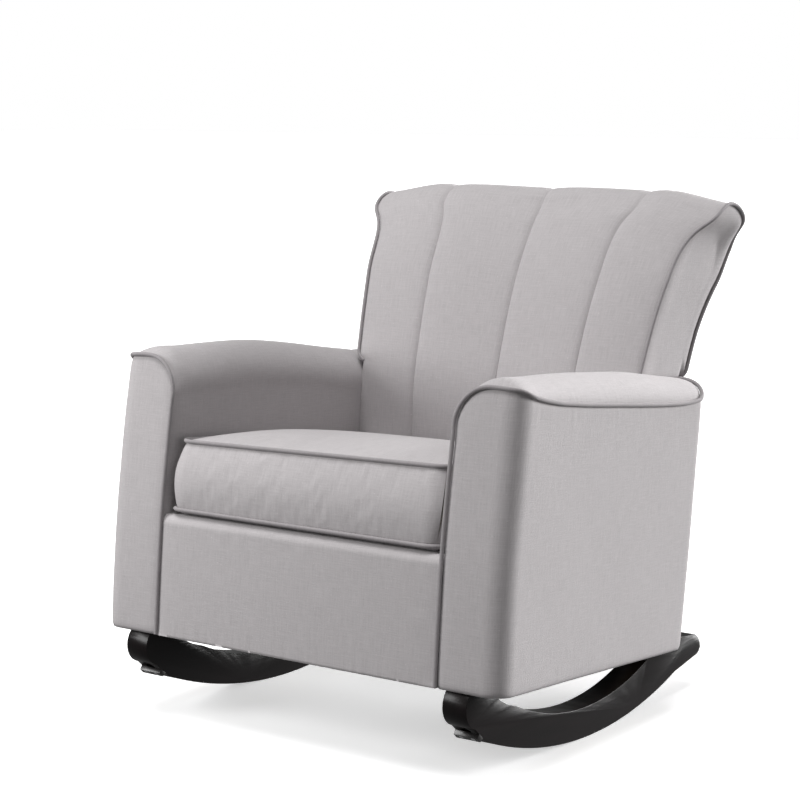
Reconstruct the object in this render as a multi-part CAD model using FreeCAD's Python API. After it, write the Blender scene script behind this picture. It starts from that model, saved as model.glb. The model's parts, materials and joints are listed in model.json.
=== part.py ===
import FreeCAD, Part
import math
import os

# Upholstered rocking chair: a padded body on two wooden rockers, with a loose seat cushion.
# The body is drawn level in its own frame: X to the sitter's left-hand side as seen from the
# front, Y from the front face to the rear, Z up from the underside. It is then tipped back by
# PITCH and set on the rockers. All sizes are in millimetres.

# --- body -------------------------------------------------------------------------------------
CHAIR_WIDTH = 800.0
ARM_WIDTH = 116.0
BODY_DEPTH = 586.0          # at the underside
REAR_RAKE = 33.0            # how far the arm's rear end leans back at the arm's height
FRONT_LEAN = 28.0           # how far the arm's front leans back at its top
FRONT_BEND_HEIGHT = 210.0   # the front is nearly upright up to here
FRONT_BEND_LEAN = 3.0
ARM_HEIGHT = 459.0          # top of the arm's front
ARM_CROWN = ARM_HEIGHT + 17         # top of the arm's domed middle
ARM_REAR_CROWN = ARM_HEIGHT - 7
ARM_EDGE_MIDDLE = ARM_HEIGHT - 27   # outer top edge halfway along
ARM_EDGE_REAR = ARM_HEIGHT - 37
CORNER_RADIUS = 34.0        # upright outer corners of the arms
PITCH = 4.0                 # degrees that the body is tipped back
UNDERSIDE_HEIGHT = 150.7    # front of the underside above the floor
HALF_WIDTH = CHAIR_WIDTH / 2
ARM_INNER = HALF_WIDTH - ARM_WIDTH

# --- padding and cloth ------------------------------------------------------------------------
WALL = 20.0                 # padding on the arm's sides
FRONT_WALL = 22.0
REAR_WALL = 22.0
PIPING_RADIUS = 3.4
GROOVE_GAP = 0.3
SIDE_GAP = 0.5              # between the arms and what stands between them

# --- frame ------------------------------------------------------------------------------------
BOARD = 22.0
FRONT_BOARD = 30.0          # the front rail carries the sitter's weight when getting up
ARM_POST = 40.0
ARM_TOP_RAIL_TOP = ARM_HEIGHT - 47
ARM_RAIL_HEIGHT = 24.0
BOTTOM_RAIL_HEIGHT = 28.0
RAIL_HEEL_GAP = 4.0         # cloth and card behind the bottom rail's rear end
LINING = 4.0                # fibre board under the arm's outer cloth
SEAT_RAIL_BOTTOM = 30.0
SEAT_RAIL_TOP = 160.0
INNER_OPENING = SEAT_RAIL_TOP + 5   # the arm's inner padding stops here, at the deck
SEAT_FRAME_REAR = BODY_DEPTH - 50
CORNER_BLOCK = 56.0
CORNER_BLOCK_HEIGHT = 60.0
SCREW_RADIUS = 2.0
SCREW_HEAD_RADIUS = 4.0
SCREW_LENGTH = 34.0
SCREW_INSET = 20.0          # from the block's upright edge along each rail
DUST_COVER_THICKNESS = 1.2

# --- seat -------------------------------------------------------------------------------------
SPRING_COUNT = 5
SPRING_WIRE = 1.9
SPRING_SWING = 22.0
SPRING_WAVE = 24.0
SPRING_WAVES = 19
CLIP_WIDTH = 20.0
CLIP_DEPTH = 10.0
CLIP_HEIGHT = 6.6
DECK_BOTTOM = SEAT_RAIL_TOP + 8
DECK_TOP = DECK_BOTTOM + 36
LIP_DEPTH = 61.0            # rolled edge of the apron over the front rail

# --- back -------------------------------------------------------------------------------------
BACK_PAD = 26.0
BACK_TOP_PAD = 26.0
BACK_SKIN = 9.0             # padded outside panel
BACK_SIDE = 14.0            # padded side panels
BACK_PLATE = 18.0           # plywood side frames
BACK_PLATE_X = ARM_INNER - 40   # inner face of a side frame
BACK_FOOT = 20.0
WING_BLOCK_DEPTH = 50.0     # blocks that hold the side panels off the side frames
WING_BLOCK_HEIGHT = 36.0
WING_BLOCKS = [(BODY_DEPTH + 114, ARM_HEIGHT + 213), (BODY_DEPTH + 74, ARM_HEIGHT + 101)]
STRAP_COUNT = 6
STRAP_WIDTH = 50.0
STRAP_THICKNESS = 2.0
STRAP_GAP = 1.0

# --- loose cushion ----------------------------------------------------------------------------
CUSHION_GAP = 12.0          # between the cushion and each arm
CUSHION_REST_GAP = 0.6
CUSHION_BOXING = 117.0      # height of the strip between the two seams
CUSHION_SEAM_LOW = DECK_TOP + 10
CUSHION_SEAM_HIGH = CUSHION_SEAM_LOW + CUSHION_BOXING
CUSHION_CROWN = 24.0
CUSHION_FRONT_LOW = 8.0
CUSHION_FRONT_HIGH = 28.0
CUSHION_REAR = BODY_DEPTH - 48
CUSHION_CORNER = 26.0
COVER_THICKNESS = 3.0
CORE_GAP = 0.4
ZIP_LENGTH = 450.0
ZIP_HEIGHT = CUSHION_SEAM_LOW + 58
ZIP_TAPE_WIDTH = 22.0
ZIP_TAPE_THICKNESS = 1.2
ZIP_CHAIN_WIDTH = 4.0
ZIP_CHAIN_THICKNESS = 1.4
SLIDER_LENGTH = 10.0
SLIDER_WIDTH = 9.0
SLIDER_THICKNESS = 3.4
SLIDER_GAP = 0.3
PULL_LENGTH = 24.0

# --- rockers ----------------------------------------------------------------------------------
ROCKER_X = ARM_INNER + 38.5
ROCKER_THICKNESS = 44.0
ROCKER_RADIUS = 850.0
ROCKER_CONTACT = BODY_DEPTH - 209   # where the rocker meets the floor, from the body's front
ROCKER_TOP_RADIUS = 520.0
ROCKER_TOP_CENTRE = BODY_DEPTH - 226
ROCKER_DEPTH = 51.4         # at the middle
FRONT_PAD_END = 60.0
REAR_PAD_START = BODY_DEPTH - 26
TAIL_KINK = BODY_DEPTH + 64
TAIL_END = BODY_DEPTH + 156
STOP_LENGTH = 14.0
STOP_HEIGHT = 8.0
BOLT_RADIUS = 4.0
BOLT_CLEARANCE = 0.4
BOLT_HEAD_RADIUS = 6.5
BOLT_HEAD_HEIGHT = 8.0
SOCKET_RADIUS = 3.0
WASHER_RADIUS = 8.5
WASHER_THICKNESS = 1.6
COUNTERBORE_RADIUS = 9.2
BOLT_GRIP = 40.0            # wood left above the washer
NUT_FLANGE_RADIUS = 9.5
NUT_BARREL_RADIUS = 5.2
FRONT_BOLT_Y = 36.0
REAR_BOLT_Y = BODY_DEPTH - 15

SEAT_HALF = ARM_INNER - SIDE_GAP
CAVITY_INNER = ARM_INNER + WALL
CAVITY_OUTER = HALF_WIDTH - WALL
TAN_PITCH = math.tan(math.radians(PITCH))
BIG = 2000.0


def vec(x, y, z):
    return FreeCAD.Vector(x, y, z)


def box(x0, x1, y0, y1, z0, z1):
    return Part.makeBox(x1 - x0, y1 - y0, z1 - z0, vec(x0, y0, z0))


def mirrored(shape):
    return shape.mirror(vec(0, 0, 0), vec(1, 0, 0))


def joined_edges(stretches):
    """Edges for a closed outline: 2 points are a line, 3 an arc, more a smooth curve."""
    edges = []
    for points in stretches:
        if len(points) == 2:
            edges.append(Part.LineSegment(*points).toShape())
        elif len(points) == 3:
            edges.append(Part.Arc(*points).toShape())
        else:
            curve = Part.BSplineCurve()
            curve.interpolate(points)
            edges.append(curve.toShape())
    return edges


def side_prism(stretches, x0, x1):
    """Solid between x0 and x1 from an outline of (y, z) stretches."""
    placed = [[vec(x0, y, z) for y, z in stretch] for stretch in stretches]
    wire = Part.Wire(joined_edges(placed))
    return Part.Face(wire).extrude(vec(x1 - x0, 0, 0))


def front_prism(stretches, y0, y1):
    """Solid between y0 and y1 from an outline of (x, z) stretches."""
    placed = [[vec(x, y0, z) for x, z in stretch] for stretch in stretches]
    wire = Part.Wire(joined_edges(placed))
    return Part.Face(wire).extrude(vec(0, y1 - y0, 0))


def polygon(points):
    """The stretches of a closed outline of straight lines."""
    return [[a, b] for a, b in zip(points, points[1:] + points[:1])]


def rounded_path(corners, radius, closed=False):
    """Straight runs joined by tangent arcs at the inner corners of a list of points."""
    count = len(corners)
    inner = range(count) if closed else range(1, count - 1)
    trims = {}
    for i in inner:
        before = corners[i] - corners[i - 1]
        after = corners[(i + 1) % count] - corners[i]
        turn = before.getAngle(after)
        reach = min(radius * math.tan(turn / 2), 0.45 * min(before.Length, after.Length))
        start = corners[i] - before.normalize() * reach
        end = corners[i] + after.normalize() * reach
        bend = reach / math.tan(turn / 2)
        towards = (after - before).normalize()
        middle = corners[i] + towards * (bend / math.cos(turn / 2) - bend)
        trims[i] = (start, middle, end)
    edges = []
    last = count if closed else count - 1
    for i in range(last):
        j = (i + 1) % count
        start = trims[i][2] if i in trims else corners[i]
        end = trims[j][0] if j in trims else corners[j]
        edges.append(Part.LineSegment(start, end).toShape())
        if j in trims:
            edges.append(Part.Arc(*trims[j]).toShape())
    return Part.Wire(edges)


def tube(corners, radius, bend, closed=False):
    path = rounded_path(corners, bend, closed)
    first = path.Edges[0]
    start = first.valueAt(first.FirstParameter)
    heading = first.tangentAt(first.FirstParameter)
    profile = Part.Wire([Part.makeCircle(radius, start, heading)])
    return path.makePipeShell([profile], True, False)


def piping(corners, bend, closed=False):
    """A round cord of cloth, and the groove that seats it in the padding."""
    return (tube(corners, PIPING_RADIUS, bend, closed),
            tube(corners, PIPING_RADIUS + GROOVE_GAP, bend, closed))


def front_face(z):
    """How far back the padded front stands at a height."""
    if z <= FRONT_BEND_HEIGHT:
        return FRONT_BEND_LEAN * z / FRONT_BEND_HEIGHT
    rise = (z - FRONT_BEND_HEIGHT) / (ARM_HEIGHT - FRONT_BEND_HEIGHT)
    return FRONT_BEND_LEAN + (FRONT_LEAN - FRONT_BEND_LEAN) * rise


def rear_face(z):
    return BODY_DEPTH + REAR_RAKE * z / ARM_EDGE_REAR


# --- arms -------------------------------------------------------------------------------------
def arm_section(y, crown, edge):
    """Cross-section of an arm: upright inner side, rounded shoulder, dome, lower outer edge."""
    shoulder = crown - 72.0
    crest_x = ARM_INNER + 52.0
    points = [vec(ARM_INNER, y, 0), vec(ARM_INNER, y, shoulder)]
    arc_one = [points[1], vec(ARM_INNER + 13, y, crown - 22), vec(crest_x, y, crown)]
    arc_two = [arc_one[2], vec(HALF_WIDTH - 22, y, edge + 0.72 * (crown - edge)),
               vec(HALF_WIDTH, y, edge)]
    foot = vec(HALF_WIDTH, y, 0)
    return Part.Wire(joined_edges([points, arc_one, arc_two, [arc_two[2], foot],
                                   [foot, points[0]]]))


def arm_envelope():
    """Outer shape of the right arm."""
    sections = [arm_section(-10, ARM_HEIGHT + 6, ARM_HEIGHT),
                arm_section(BODY_DEPTH * 0.42, ARM_CROWN, ARM_EDGE_MIDDLE),
                arm_section(BODY_DEPTH + REAR_RAKE + 10, ARM_REAR_CROWN, ARM_EDGE_REAR)]
    dome = Part.makeLoft(sections, True, True)
    side = side_prism(polygon([(front_face(0), -1), (front_face(FRONT_BEND_HEIGHT),
                                                     FRONT_BEND_HEIGHT),
                               (front_face(BIG / 4), BIG / 4), (rear_face(BIG / 4), BIG / 4),
                               (rear_face(0), -1)]), ARM_INNER - 1, HALF_WIDTH + 1)
    plan = box(ARM_INNER, HALF_WIDTH, -20, BODY_DEPTH + 60, -5, BIG / 4)
    arm = dome.common(side).common(plan)
    upright = [e for e in arm.Edges if abs(e.BoundBox.XMin - HALF_WIDTH) < 0.01
               and abs(e.BoundBox.XMax - HALF_WIDTH) < 0.01
               and e.BoundBox.ZLength > 0.2 * ARM_HEIGHT]
    return arm.makeFillet(CORNER_RADIUS, upright)


def cavity_outline(top):
    """Inside of an arm's padding in side view, from the underside to a height."""
    return polygon([(FRONT_WALL, -2), (front_face(FRONT_BEND_HEIGHT) + FRONT_WALL,
                                       FRONT_BEND_HEIGHT),
                    (front_face(top) + FRONT_WALL, top), (rear_face(top) - REAR_WALL, top),
                    (rear_face(0) - REAR_WALL, -2)])


def arm_piping_points():
    """Route of an arm's piping: up the inner front edge, over the front, back along the top."""
    lift = 1.5
    edge_x = HALF_WIDTH - 1.5
    inner_x = ARM_INNER + 2.5
    return [vec(inner_x, front_face(2) - lift, 2),
            vec(inner_x, front_face(FRONT_BEND_HEIGHT) - lift, FRONT_BEND_HEIGHT),
            vec(inner_x, front_face(ARM_HEIGHT - 55) - lift, ARM_HEIGHT - 55),
            vec(ARM_INNER + 14, front_face(ARM_HEIGHT - 10) - lift, ARM_HEIGHT - 10),
            vec(ARM_INNER + 40, front_face(ARM_HEIGHT) - lift, ARM_HEIGHT + 3),
            vec(edge_x - 32, front_face(ARM_HEIGHT) - lift, ARM_HEIGHT + 1),
            vec(edge_x - 6, front_face(ARM_HEIGHT) + 8, ARM_HEIGHT - 3),
            vec(edge_x, 70, ARM_HEIGHT - 10),
            vec(edge_x, BODY_DEPTH * 0.42, ARM_EDGE_MIDDLE),
            vec(edge_x, BODY_DEPTH * 0.75, ARM_EDGE_MIDDLE - 8),
            vec(edge_x, rear_face(ARM_EDGE_REAR) - CORNER_RADIUS, ARM_EDGE_REAR),
            vec(edge_x - 10, rear_face(ARM_EDGE_REAR) - 7, ARM_EDGE_REAR),
            vec(edge_x - CORNER_RADIUS, rear_face(ARM_EDGE_REAR) + 0.5, ARM_EDGE_REAR + 2),
            vec(ARM_INNER + 30, rear_face(ARM_EDGE_REAR) + 0.5, ARM_EDGE_REAR + 4)]


def arm_nodes():
    """The pieces of the right arm by name."""
    outer = arm_envelope()
    cord, groove = piping(arm_piping_points(), 18)
    hollow = side_prism(cavity_outline(ARM_TOP_RAIL_TOP), CAVITY_INNER, CAVITY_OUTER)
    below_deck = box(ARM_INNER - 5, CAVITY_INNER + 1, FRONT_WALL, SEAT_FRAME_REAR, -5,
                     INNER_OPENING)
    heel = box(CAVITY_INNER, CAVITY_OUTER - RAIL_HEEL_GAP, BODY_DEPTH / 2,
               BODY_DEPTH - RAIL_HEEL_GAP, 0, BOTTOM_RAIL_HEIGHT)
    padding = outer.cut(hollow).cut(below_deck).cut(heel).cut(groove)

    whole = cavity_outline(ARM_TOP_RAIL_TOP)
    rail_bottom = ARM_TOP_RAIL_TOP - ARM_RAIL_HEIGHT
    interior = side_prism(whole, CAVITY_INNER, CAVITY_OUTER)
    post = side_prism(whole, CAVITY_INNER, CAVITY_INNER + ARM_POST)
    uprights = box(CAVITY_INNER - 1, CAVITY_OUTER + 1, -10, BIG, BOTTOM_RAIL_HEIGHT, rail_bottom)
    post = post.common(uprights)
    behind = post.copy()
    behind.translate(vec(0, ARM_POST, 0))
    ahead = post.copy()
    ahead.translate(vec(0, -ARM_POST, 0))
    lining = interior.common(uprights)
    lining = lining.common(box(CAVITY_OUTER - LINING, CAVITY_OUTER, -10, BIG, 0, BIG))
    return {
        "arm_padding": padding,
        "arm_piping": cord,
        "arm_bottom_rail": interior.common(box(0, BIG, -10, BIG, 0, BOTTOM_RAIL_HEIGHT)
                                           ).fuse(heel).removeSplitter(),
        "arm_top_rail": interior.common(box(0, BIG, -10, BIG, rail_bottom, BIG)),
        "arm_front_post": post.cut(behind),
        "arm_rear_post": post.cut(ahead),
        "arm_side_lining": lining,
    }


# --- seat -------------------------------------------------------------------------------------
def spring_wire(x):
    """One sinuous spring from the front rail to the rear rail."""
    z = SEAT_RAIL_TOP + 3.4
    start = FRONT_WALL + 2 + BOARD / 2
    end = SEAT_FRAME_REAR - BOARD / 2
    pitch = (end - start) / SPRING_WAVES
    corners = []
    side = -1
    for i in range(SPRING_WAVES + 1):
        y = start + i * pitch
        corners += [vec(x + side * SPRING_SWING, y, z), vec(x - side * SPRING_SWING, y, z)]
        side = -side
    return tube(corners, SPRING_WIRE, pitch / 2.3)


def seat_nodes():
    """Seat frame, springs, deck, apron and dust cover."""
    front_y = FRONT_WALL + 2
    rear_y = SEAT_FRAME_REAR - BOARD
    top, bottom = SEAT_RAIL_TOP, SEAT_RAIL_BOTTOM
    nodes = {
        "seat_front_rail": box(-CAVITY_INNER, CAVITY_INNER, front_y, front_y + FRONT_BOARD,
                               bottom, top),
        "seat_rear_rail": box(-CAVITY_INNER, CAVITY_INNER, rear_y, SEAT_FRAME_REAR, bottom,
                              top),
        "seat_side_rail_right": box(ARM_INNER, CAVITY_INNER, front_y + FRONT_BOARD, rear_y,
                                    2 * bottom, top),
    }
    nodes["seat_side_rail_left"] = mirrored(nodes["seat_side_rail_right"])

    blocks, screws = [], []
    block_top = top - 10
    for side in (-1, 1):
        for y, inward in ((front_y + FRONT_BOARD, 1), (rear_y, -1)):
            x = side * ARM_INNER
            outline = [vec(x, y, 0), vec(x - side * CORNER_BLOCK, y, 0),
                       vec(x, y + inward * CORNER_BLOCK, 0)]
            wire = Part.makePolygon(outline + outline[:1])
            block = Part.Face(wire).extrude(vec(0, 0, CORNER_BLOCK_HEIGHT))
            block.translate(vec(0, 0, block_top - CORNER_BLOCK_HEIGHT))
            blocks.append(block)
            for place, heading in ((vec(x - side * SCREW_INSET, y, 0), vec(0, -inward, 0)),
                                   (vec(x, y + inward * SCREW_INSET, 0), vec(side, 0, 0))):
                place.z = block_top - CORNER_BLOCK_HEIGHT / 2
                depth = CORNER_BLOCK - SCREW_INSET
                start = place - heading * depth
                shank = Part.makeCylinder(SCREW_RADIUS, depth + BOARD / 2, start, heading)
                head = Part.makeCone(SCREW_HEAD_RADIUS, SCREW_RADIUS, 3.0, start, heading)
                screws.append(shank.fuse(head))
    all_screws = Part.makeCompound(screws)
    nodes["corner_blocks"] = Part.makeCompound([block.cut(all_screws) for block in blocks])
    nodes["frame_screws"] = all_screws
    for name in ("seat_front_rail", "seat_rear_rail", "seat_side_rail_right",
                 "seat_side_rail_left"):
        nodes[name] = nodes[name].cut(all_screws)

    spacing = 2 * ARM_INNER / (SPRING_COUNT + 0.4)
    springs, clips = [], []
    for i in range(SPRING_COUNT):
        x = (i - (SPRING_COUNT - 1) / 2) * spacing
        springs.append(spring_wire(x))
        for y in (front_y + BOARD / 2, SEAT_FRAME_REAR - BOARD / 2):
            clip = box(x - CLIP_WIDTH / 2, x + CLIP_WIDTH / 2, y - CLIP_DEPTH / 2,
                       y + CLIP_DEPTH / 2, top, top + CLIP_HEIGHT)
            bar = Part.makeCylinder(SPRING_WIRE + 0.1, CLIP_WIDTH + 2,
                                    vec(x - CLIP_WIDTH / 2 - 1, y, top + 3.4), vec(1, 0, 0))
            clips.append(clip.cut(bar))
    nodes["seat_springs"] = Part.makeCompound(springs)
    nodes["spring_clips"] = Part.makeCompound(clips)

    nodes["seat_deck"] = box(-SEAT_HALF, SEAT_HALF, LIP_DEPTH + SIDE_GAP,
                             back_front(DECK_BOTTOM) - 2, DECK_BOTTOM, DECK_TOP)
    lip = [[(0, 0), (front_face(DECK_TOP - 19), DECK_TOP - 19)],
           [(front_face(DECK_TOP - 19), DECK_TOP - 19), (8, DECK_TOP - 5), (21, DECK_TOP)],
           [(21, DECK_TOP), (LIP_DEPTH, DECK_TOP)],
           [(LIP_DEPTH, DECK_TOP), (LIP_DEPTH, DECK_BOTTOM)],
           [(LIP_DEPTH, DECK_BOTTOM), (FRONT_WALL + 1.5, DECK_BOTTOM)],
           [(FRONT_WALL + 1.5, DECK_BOTTOM), (FRONT_WALL + 1.5, 0)],
           [(FRONT_WALL + 1.5, 0), (0, 0)]]
    nodes["front_apron"] = side_prism(lip, -SEAT_HALF, SEAT_HALF)
    nodes["dust_cover"] = box(-SEAT_HALF, SEAT_HALF, FRONT_WALL + 4, BODY_DEPTH - BACK_SKIN - 2,
                              0, DUST_COVER_THICKNESS)
    return nodes


# --- back -------------------------------------------------------------------------------------
def from_arm_rear(offsets):
    """Points (y, z) given from the underside's rear edge and the arm's height."""
    return [(BODY_DEPTH + y, ARM_HEIGHT + z) for y, z in offsets]


BACK_FRONT = [(BODY_DEPTH - 38, DECK_BOTTOM + 7), (BODY_DEPTH - 37, DECK_BOTTOM + 132)]
BACK_FRONT += from_arm_rear([(-33, -29), (-20, 31), (-1, 101), (20, 161), (54, 231), (86, 279),
                             (114, 305)])
BACK_TOP = from_arm_rear([(114, 305), (138, 316), (166, 314), (199, 295), (222, 264),
                          (230, 231)])
BACK_REAR = from_arm_rear([(230, 231), (214, 181), (181, 126), (159, 82), (134, -10)])
BACK_REAR += [(BODY_DEPTH + 74, 249), (BODY_DEPTH, 0)]
BACK_HALF_WIDTH = [(ARM_INNER + x, ARM_HEIGHT + z) for x, z in
                   [(15, -7), (19, 41), (31, 148), (53, 259), (80, 293)]]


def back_front(z):
    """Y of the back's front face at a height below the bend."""
    (y0, z0), (y1, z1) = BACK_FRONT[0], BACK_FRONT[1]
    return y0 + (y1 - y0) * (z - z0) / (z1 - z0)


def curve_y(points, z):
    """Y on a list of points by straight interpolation between them."""
    for (y0, z0), (y1, z1) in zip(points, points[1:]):
        if min(z0, z1) <= z <= max(z0, z1):
            return y0 + (y1 - y0) * (z - z0) / (z1 - z0)
    return points[-1][0]


def inset(points, distance):
    """The points moved to the right of their direction of travel by a distance."""
    moved = []
    for i, (y, z) in enumerate(points):
        y0, z0 = points[max(i - 1, 0)]
        y1, z1 = points[min(i + 1, len(points) - 1)]
        length = math.hypot(y1 - y0, z1 - z0)
        moved.append((y + distance * (z1 - z0) / length, z - distance * (y1 - y0) / length))
    return moved


def back_inside():
    """Front, top and rear curves of the space inside the back's padding, joined at their ends."""
    front = inset(BACK_FRONT, BACK_PAD)
    top = inset(BACK_TOP, BACK_TOP_PAD)
    rear = inset(BACK_REAR, BACK_SKIN)
    front[-1] = top[0] = ((front[-1][0] + top[0][0]) / 2, (front[-1][1] + top[0][1]) / 2)
    top[-1] = rear[0] = ((top[-1][0] + rear[0][0]) / 2, (top[-1][1] + rear[0][1]) / 2)
    return front, top, rear


def back_breadth(margin):
    """Everything between the back's two sides, or within a margin of them."""
    low = BACK_HALF_WIDTH[0][1]
    side = [(SEAT_HALF, -5), (SEAT_HALF, low - 3)] + BACK_HALF_WIDTH
    side.append((BACK_HALF_WIDTH[-1][0], BIG / 2))
    right = [(x - margin, z) for x, z in side]
    return front_prism(polygon(right + [(-x, z) for x, z in reversed(right)]), 300, 1100)


def back_nodes():
    """Frame, springing and padding of the back."""
    breadth = back_breadth(0)
    between_sides = back_breadth(BACK_SIDE)
    narrow = box(-BACK_PLATE_X - BACK_PLATE, BACK_PLATE_X + BACK_PLATE, 0, BIG, -5, BIG)

    front, top, rear = back_inside()
    foot = [rear[-1], (SEAT_FRAME_REAR, 0), (SEAT_FRAME_REAR, SEAT_RAIL_TOP),
            (SEAT_FRAME_REAR + 14, SEAT_RAIL_TOP), front[0]]
    core = side_prism([front, top, rear] + [[a, b] for a, b in zip(foot, foot[1:])], -BIG / 4,
                      BIG / 4)
    core = core.common(box(-BIG, BIG, 0, BIG, BACK_FOOT, BIG))
    padding = side_prism([BACK_FRONT, BACK_TOP, [BACK_TOP[-1], top[-1]], top[::-1], front[::-1],
                          [front[0], BACK_FRONT[0]]], -BIG / 4, BIG / 4).common(breadth)
    skin = side_prism([BACK_REAR, [BACK_REAR[-1], rear[-1]], rear[::-1], [rear[0], BACK_REAR[0]]],
                      -BIG / 4, BIG / 4).common(breadth)

    inner_half = BACK_PLATE_X
    rail = box(-inner_half, inner_half, BODY_DEPTH + 114, BODY_DEPTH + 182, ARM_HEIGHT + 213,
               ARM_HEIGHT + 257)
    plates = core.common(breadth).common(narrow)
    plates = plates.cut(box(-inner_half, inner_half, 0, BIG, -5, BIG))
    for low, high in ((ARM_HEIGHT + 41, ARM_HEIGHT + 181), (250, ARM_HEIGHT - 39)):
        window_front = curve_y(BACK_FRONT, high) + BACK_PAD + 24
        window_rear = curve_y(BACK_REAR, low) - BACK_SKIN - 24
        plates = plates.cut(box(-BIG, BIG, window_front, window_rear, low, high))
    sides = core.common(breadth).cut(between_sides)
    packing = core.common(between_sides).cut(narrow)
    blocks = [packing.common(box(x0, x1, y, y + WING_BLOCK_DEPTH, z, z + WING_BLOCK_HEIGHT))
              for x0, x1 in ((-BIG, 0), (0, BIG)) for y, z in WING_BLOCKS]
    straps = []
    for i in range(STRAP_COUNT):
        z = DECK_TOP + 18 + i * (ARM_HEIGHT - 59) / (STRAP_COUNT - 1)
        y = max(curve_y(BACK_FRONT, z - STRAP_WIDTH / 2), curve_y(BACK_FRONT, z + STRAP_WIDTH / 2))
        y += BACK_PAD * 1.12 + STRAP_GAP
        straps.append(box(-inner_half, inner_half, y, y + STRAP_THICKNESS, z - STRAP_WIDTH / 2,
                          z + STRAP_WIDTH / 2))

    nodes = {
        "back_padding": padding,
        "back_outside_panel": skin,
        "back_top_rail": rail,
        "back_middle_rail": box(-inner_half, inner_half, BODY_DEPTH + 36, BODY_DEPTH + 76,
                                ARM_HEIGHT - 19, ARM_HEIGHT + 21),
        "back_bottom_rail": box(-inner_half, inner_half, BODY_DEPTH + 2, BODY_DEPTH + 2 + BOARD,
                                DECK_BOTTOM + 14, DECK_BOTTOM + 64),
        "back_webbing": Part.makeCompound(straps),
        "wing_blocks": Part.makeCompound(blocks),
    }
    for name, pair in (("back_side_frame", plates), ("back_side_panel", sides)):
        for suffix, x0, x1 in (("_left", -BIG, 0), ("_right", 0, BIG)):
            nodes[name + suffix] = pair.common(box(x0, x1, -BIG, BIG, -BIG, BIG))

    cord, groove = piping(back_piping_points(), 26)
    nodes["back_piping_right"] = cord
    nodes["back_piping_left"] = mirrored(cord)
    grooves = Part.makeCompound([groove, mirrored(groove)])
    for name in ("back_padding", "back_outside_panel", "back_side_panel_left",
                 "back_side_panel_right"):
        nodes[name] = nodes[name].cut(grooves)
    return nodes


def half_width(z):
    for (x0, z0), (x1, z1) in zip(BACK_HALF_WIDTH, BACK_HALF_WIDTH[1:]):
        if z <= z1:
            return x0 + (x1 - x0) * max(z - z0, 0) / (z1 - z0)
    return BACK_HALF_WIDTH[-1][0]


def back_piping_points():
    """Route of the piping round the right side of the back, from arm level to arm level."""
    out = 1.0
    front = [p for p in BACK_FRONT if p[1] > BACK_HALF_WIDTH[0][1] + 20]
    rear = [p for p in BACK_REAR if p[1] > BACK_HALF_WIDTH[0][1] + 20]
    start = (curve_y(BACK_FRONT, BACK_HALF_WIDTH[0][1] + 4), BACK_HALF_WIDTH[0][1] + 4)
    end = (curve_y(BACK_REAR, BACK_HALF_WIDTH[0][1] + 4), BACK_HALF_WIDTH[0][1] + 4)
    outline = [start] + front[:-1] + BACK_TOP[::2] + rear[:1] + rear[1:] + [end]
    unique = [p for i, p in enumerate(outline) if i == 0 or p != outline[i - 1]]
    return [vec(half_width(z) + out, y, z) for y, z in unique]


# --- loose cushion ----------------------------------------------------------------------------
def cushion_solid(skin):
    """The cushion's outer form, or the space inside it when skin is above zero."""
    half = ARM_INNER - CUSHION_GAP - skin
    low, high = CUSHION_SEAM_LOW, CUSHION_SEAM_HIGH
    base = DECK_TOP + CUSHION_REST_GAP + skin
    crown = high + CUSHION_CROWN - skin
    front_low, front_high = CUSHION_FRONT_LOW + skin, CUSHION_FRONT_HIGH + skin
    rear = CUSHION_REAR - skin
    middle = (front_high + rear) / 2
    side = [[(front_low + 22, base), (front_low, low)],
            [(front_low, low), (front_low + 3, (low + high) / 2), (front_high, high)],
            [(front_high, high), (middle, crown), (rear, high)],
            [(rear, high), (rear, low)],
            [(rear, low), (rear - 18, base)],
            [(rear - 18, base), (front_low + 22, base)]]
    body = side_prism(side, -half, half)
    plan = box(-half, half, -20, rear, 0, BIG / 4)
    upright = [e for e in plan.Edges if e.BoundBox.ZLength > 100 and e.BoundBox.YMin > 0]
    return body.common(plan.makeFillet(CUSHION_CORNER, upright))


def cushion_seam(front, z):
    """Corners of the piping that goes round the cushion at a seam."""
    out = 1.2
    half = ARM_INNER - CUSHION_GAP + out
    return [vec(half, front - out, z), vec(half, CUSHION_REAR + out, z),
            vec(-half, CUSHION_REAR + out, z), vec(-half, front - out, z)]


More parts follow.
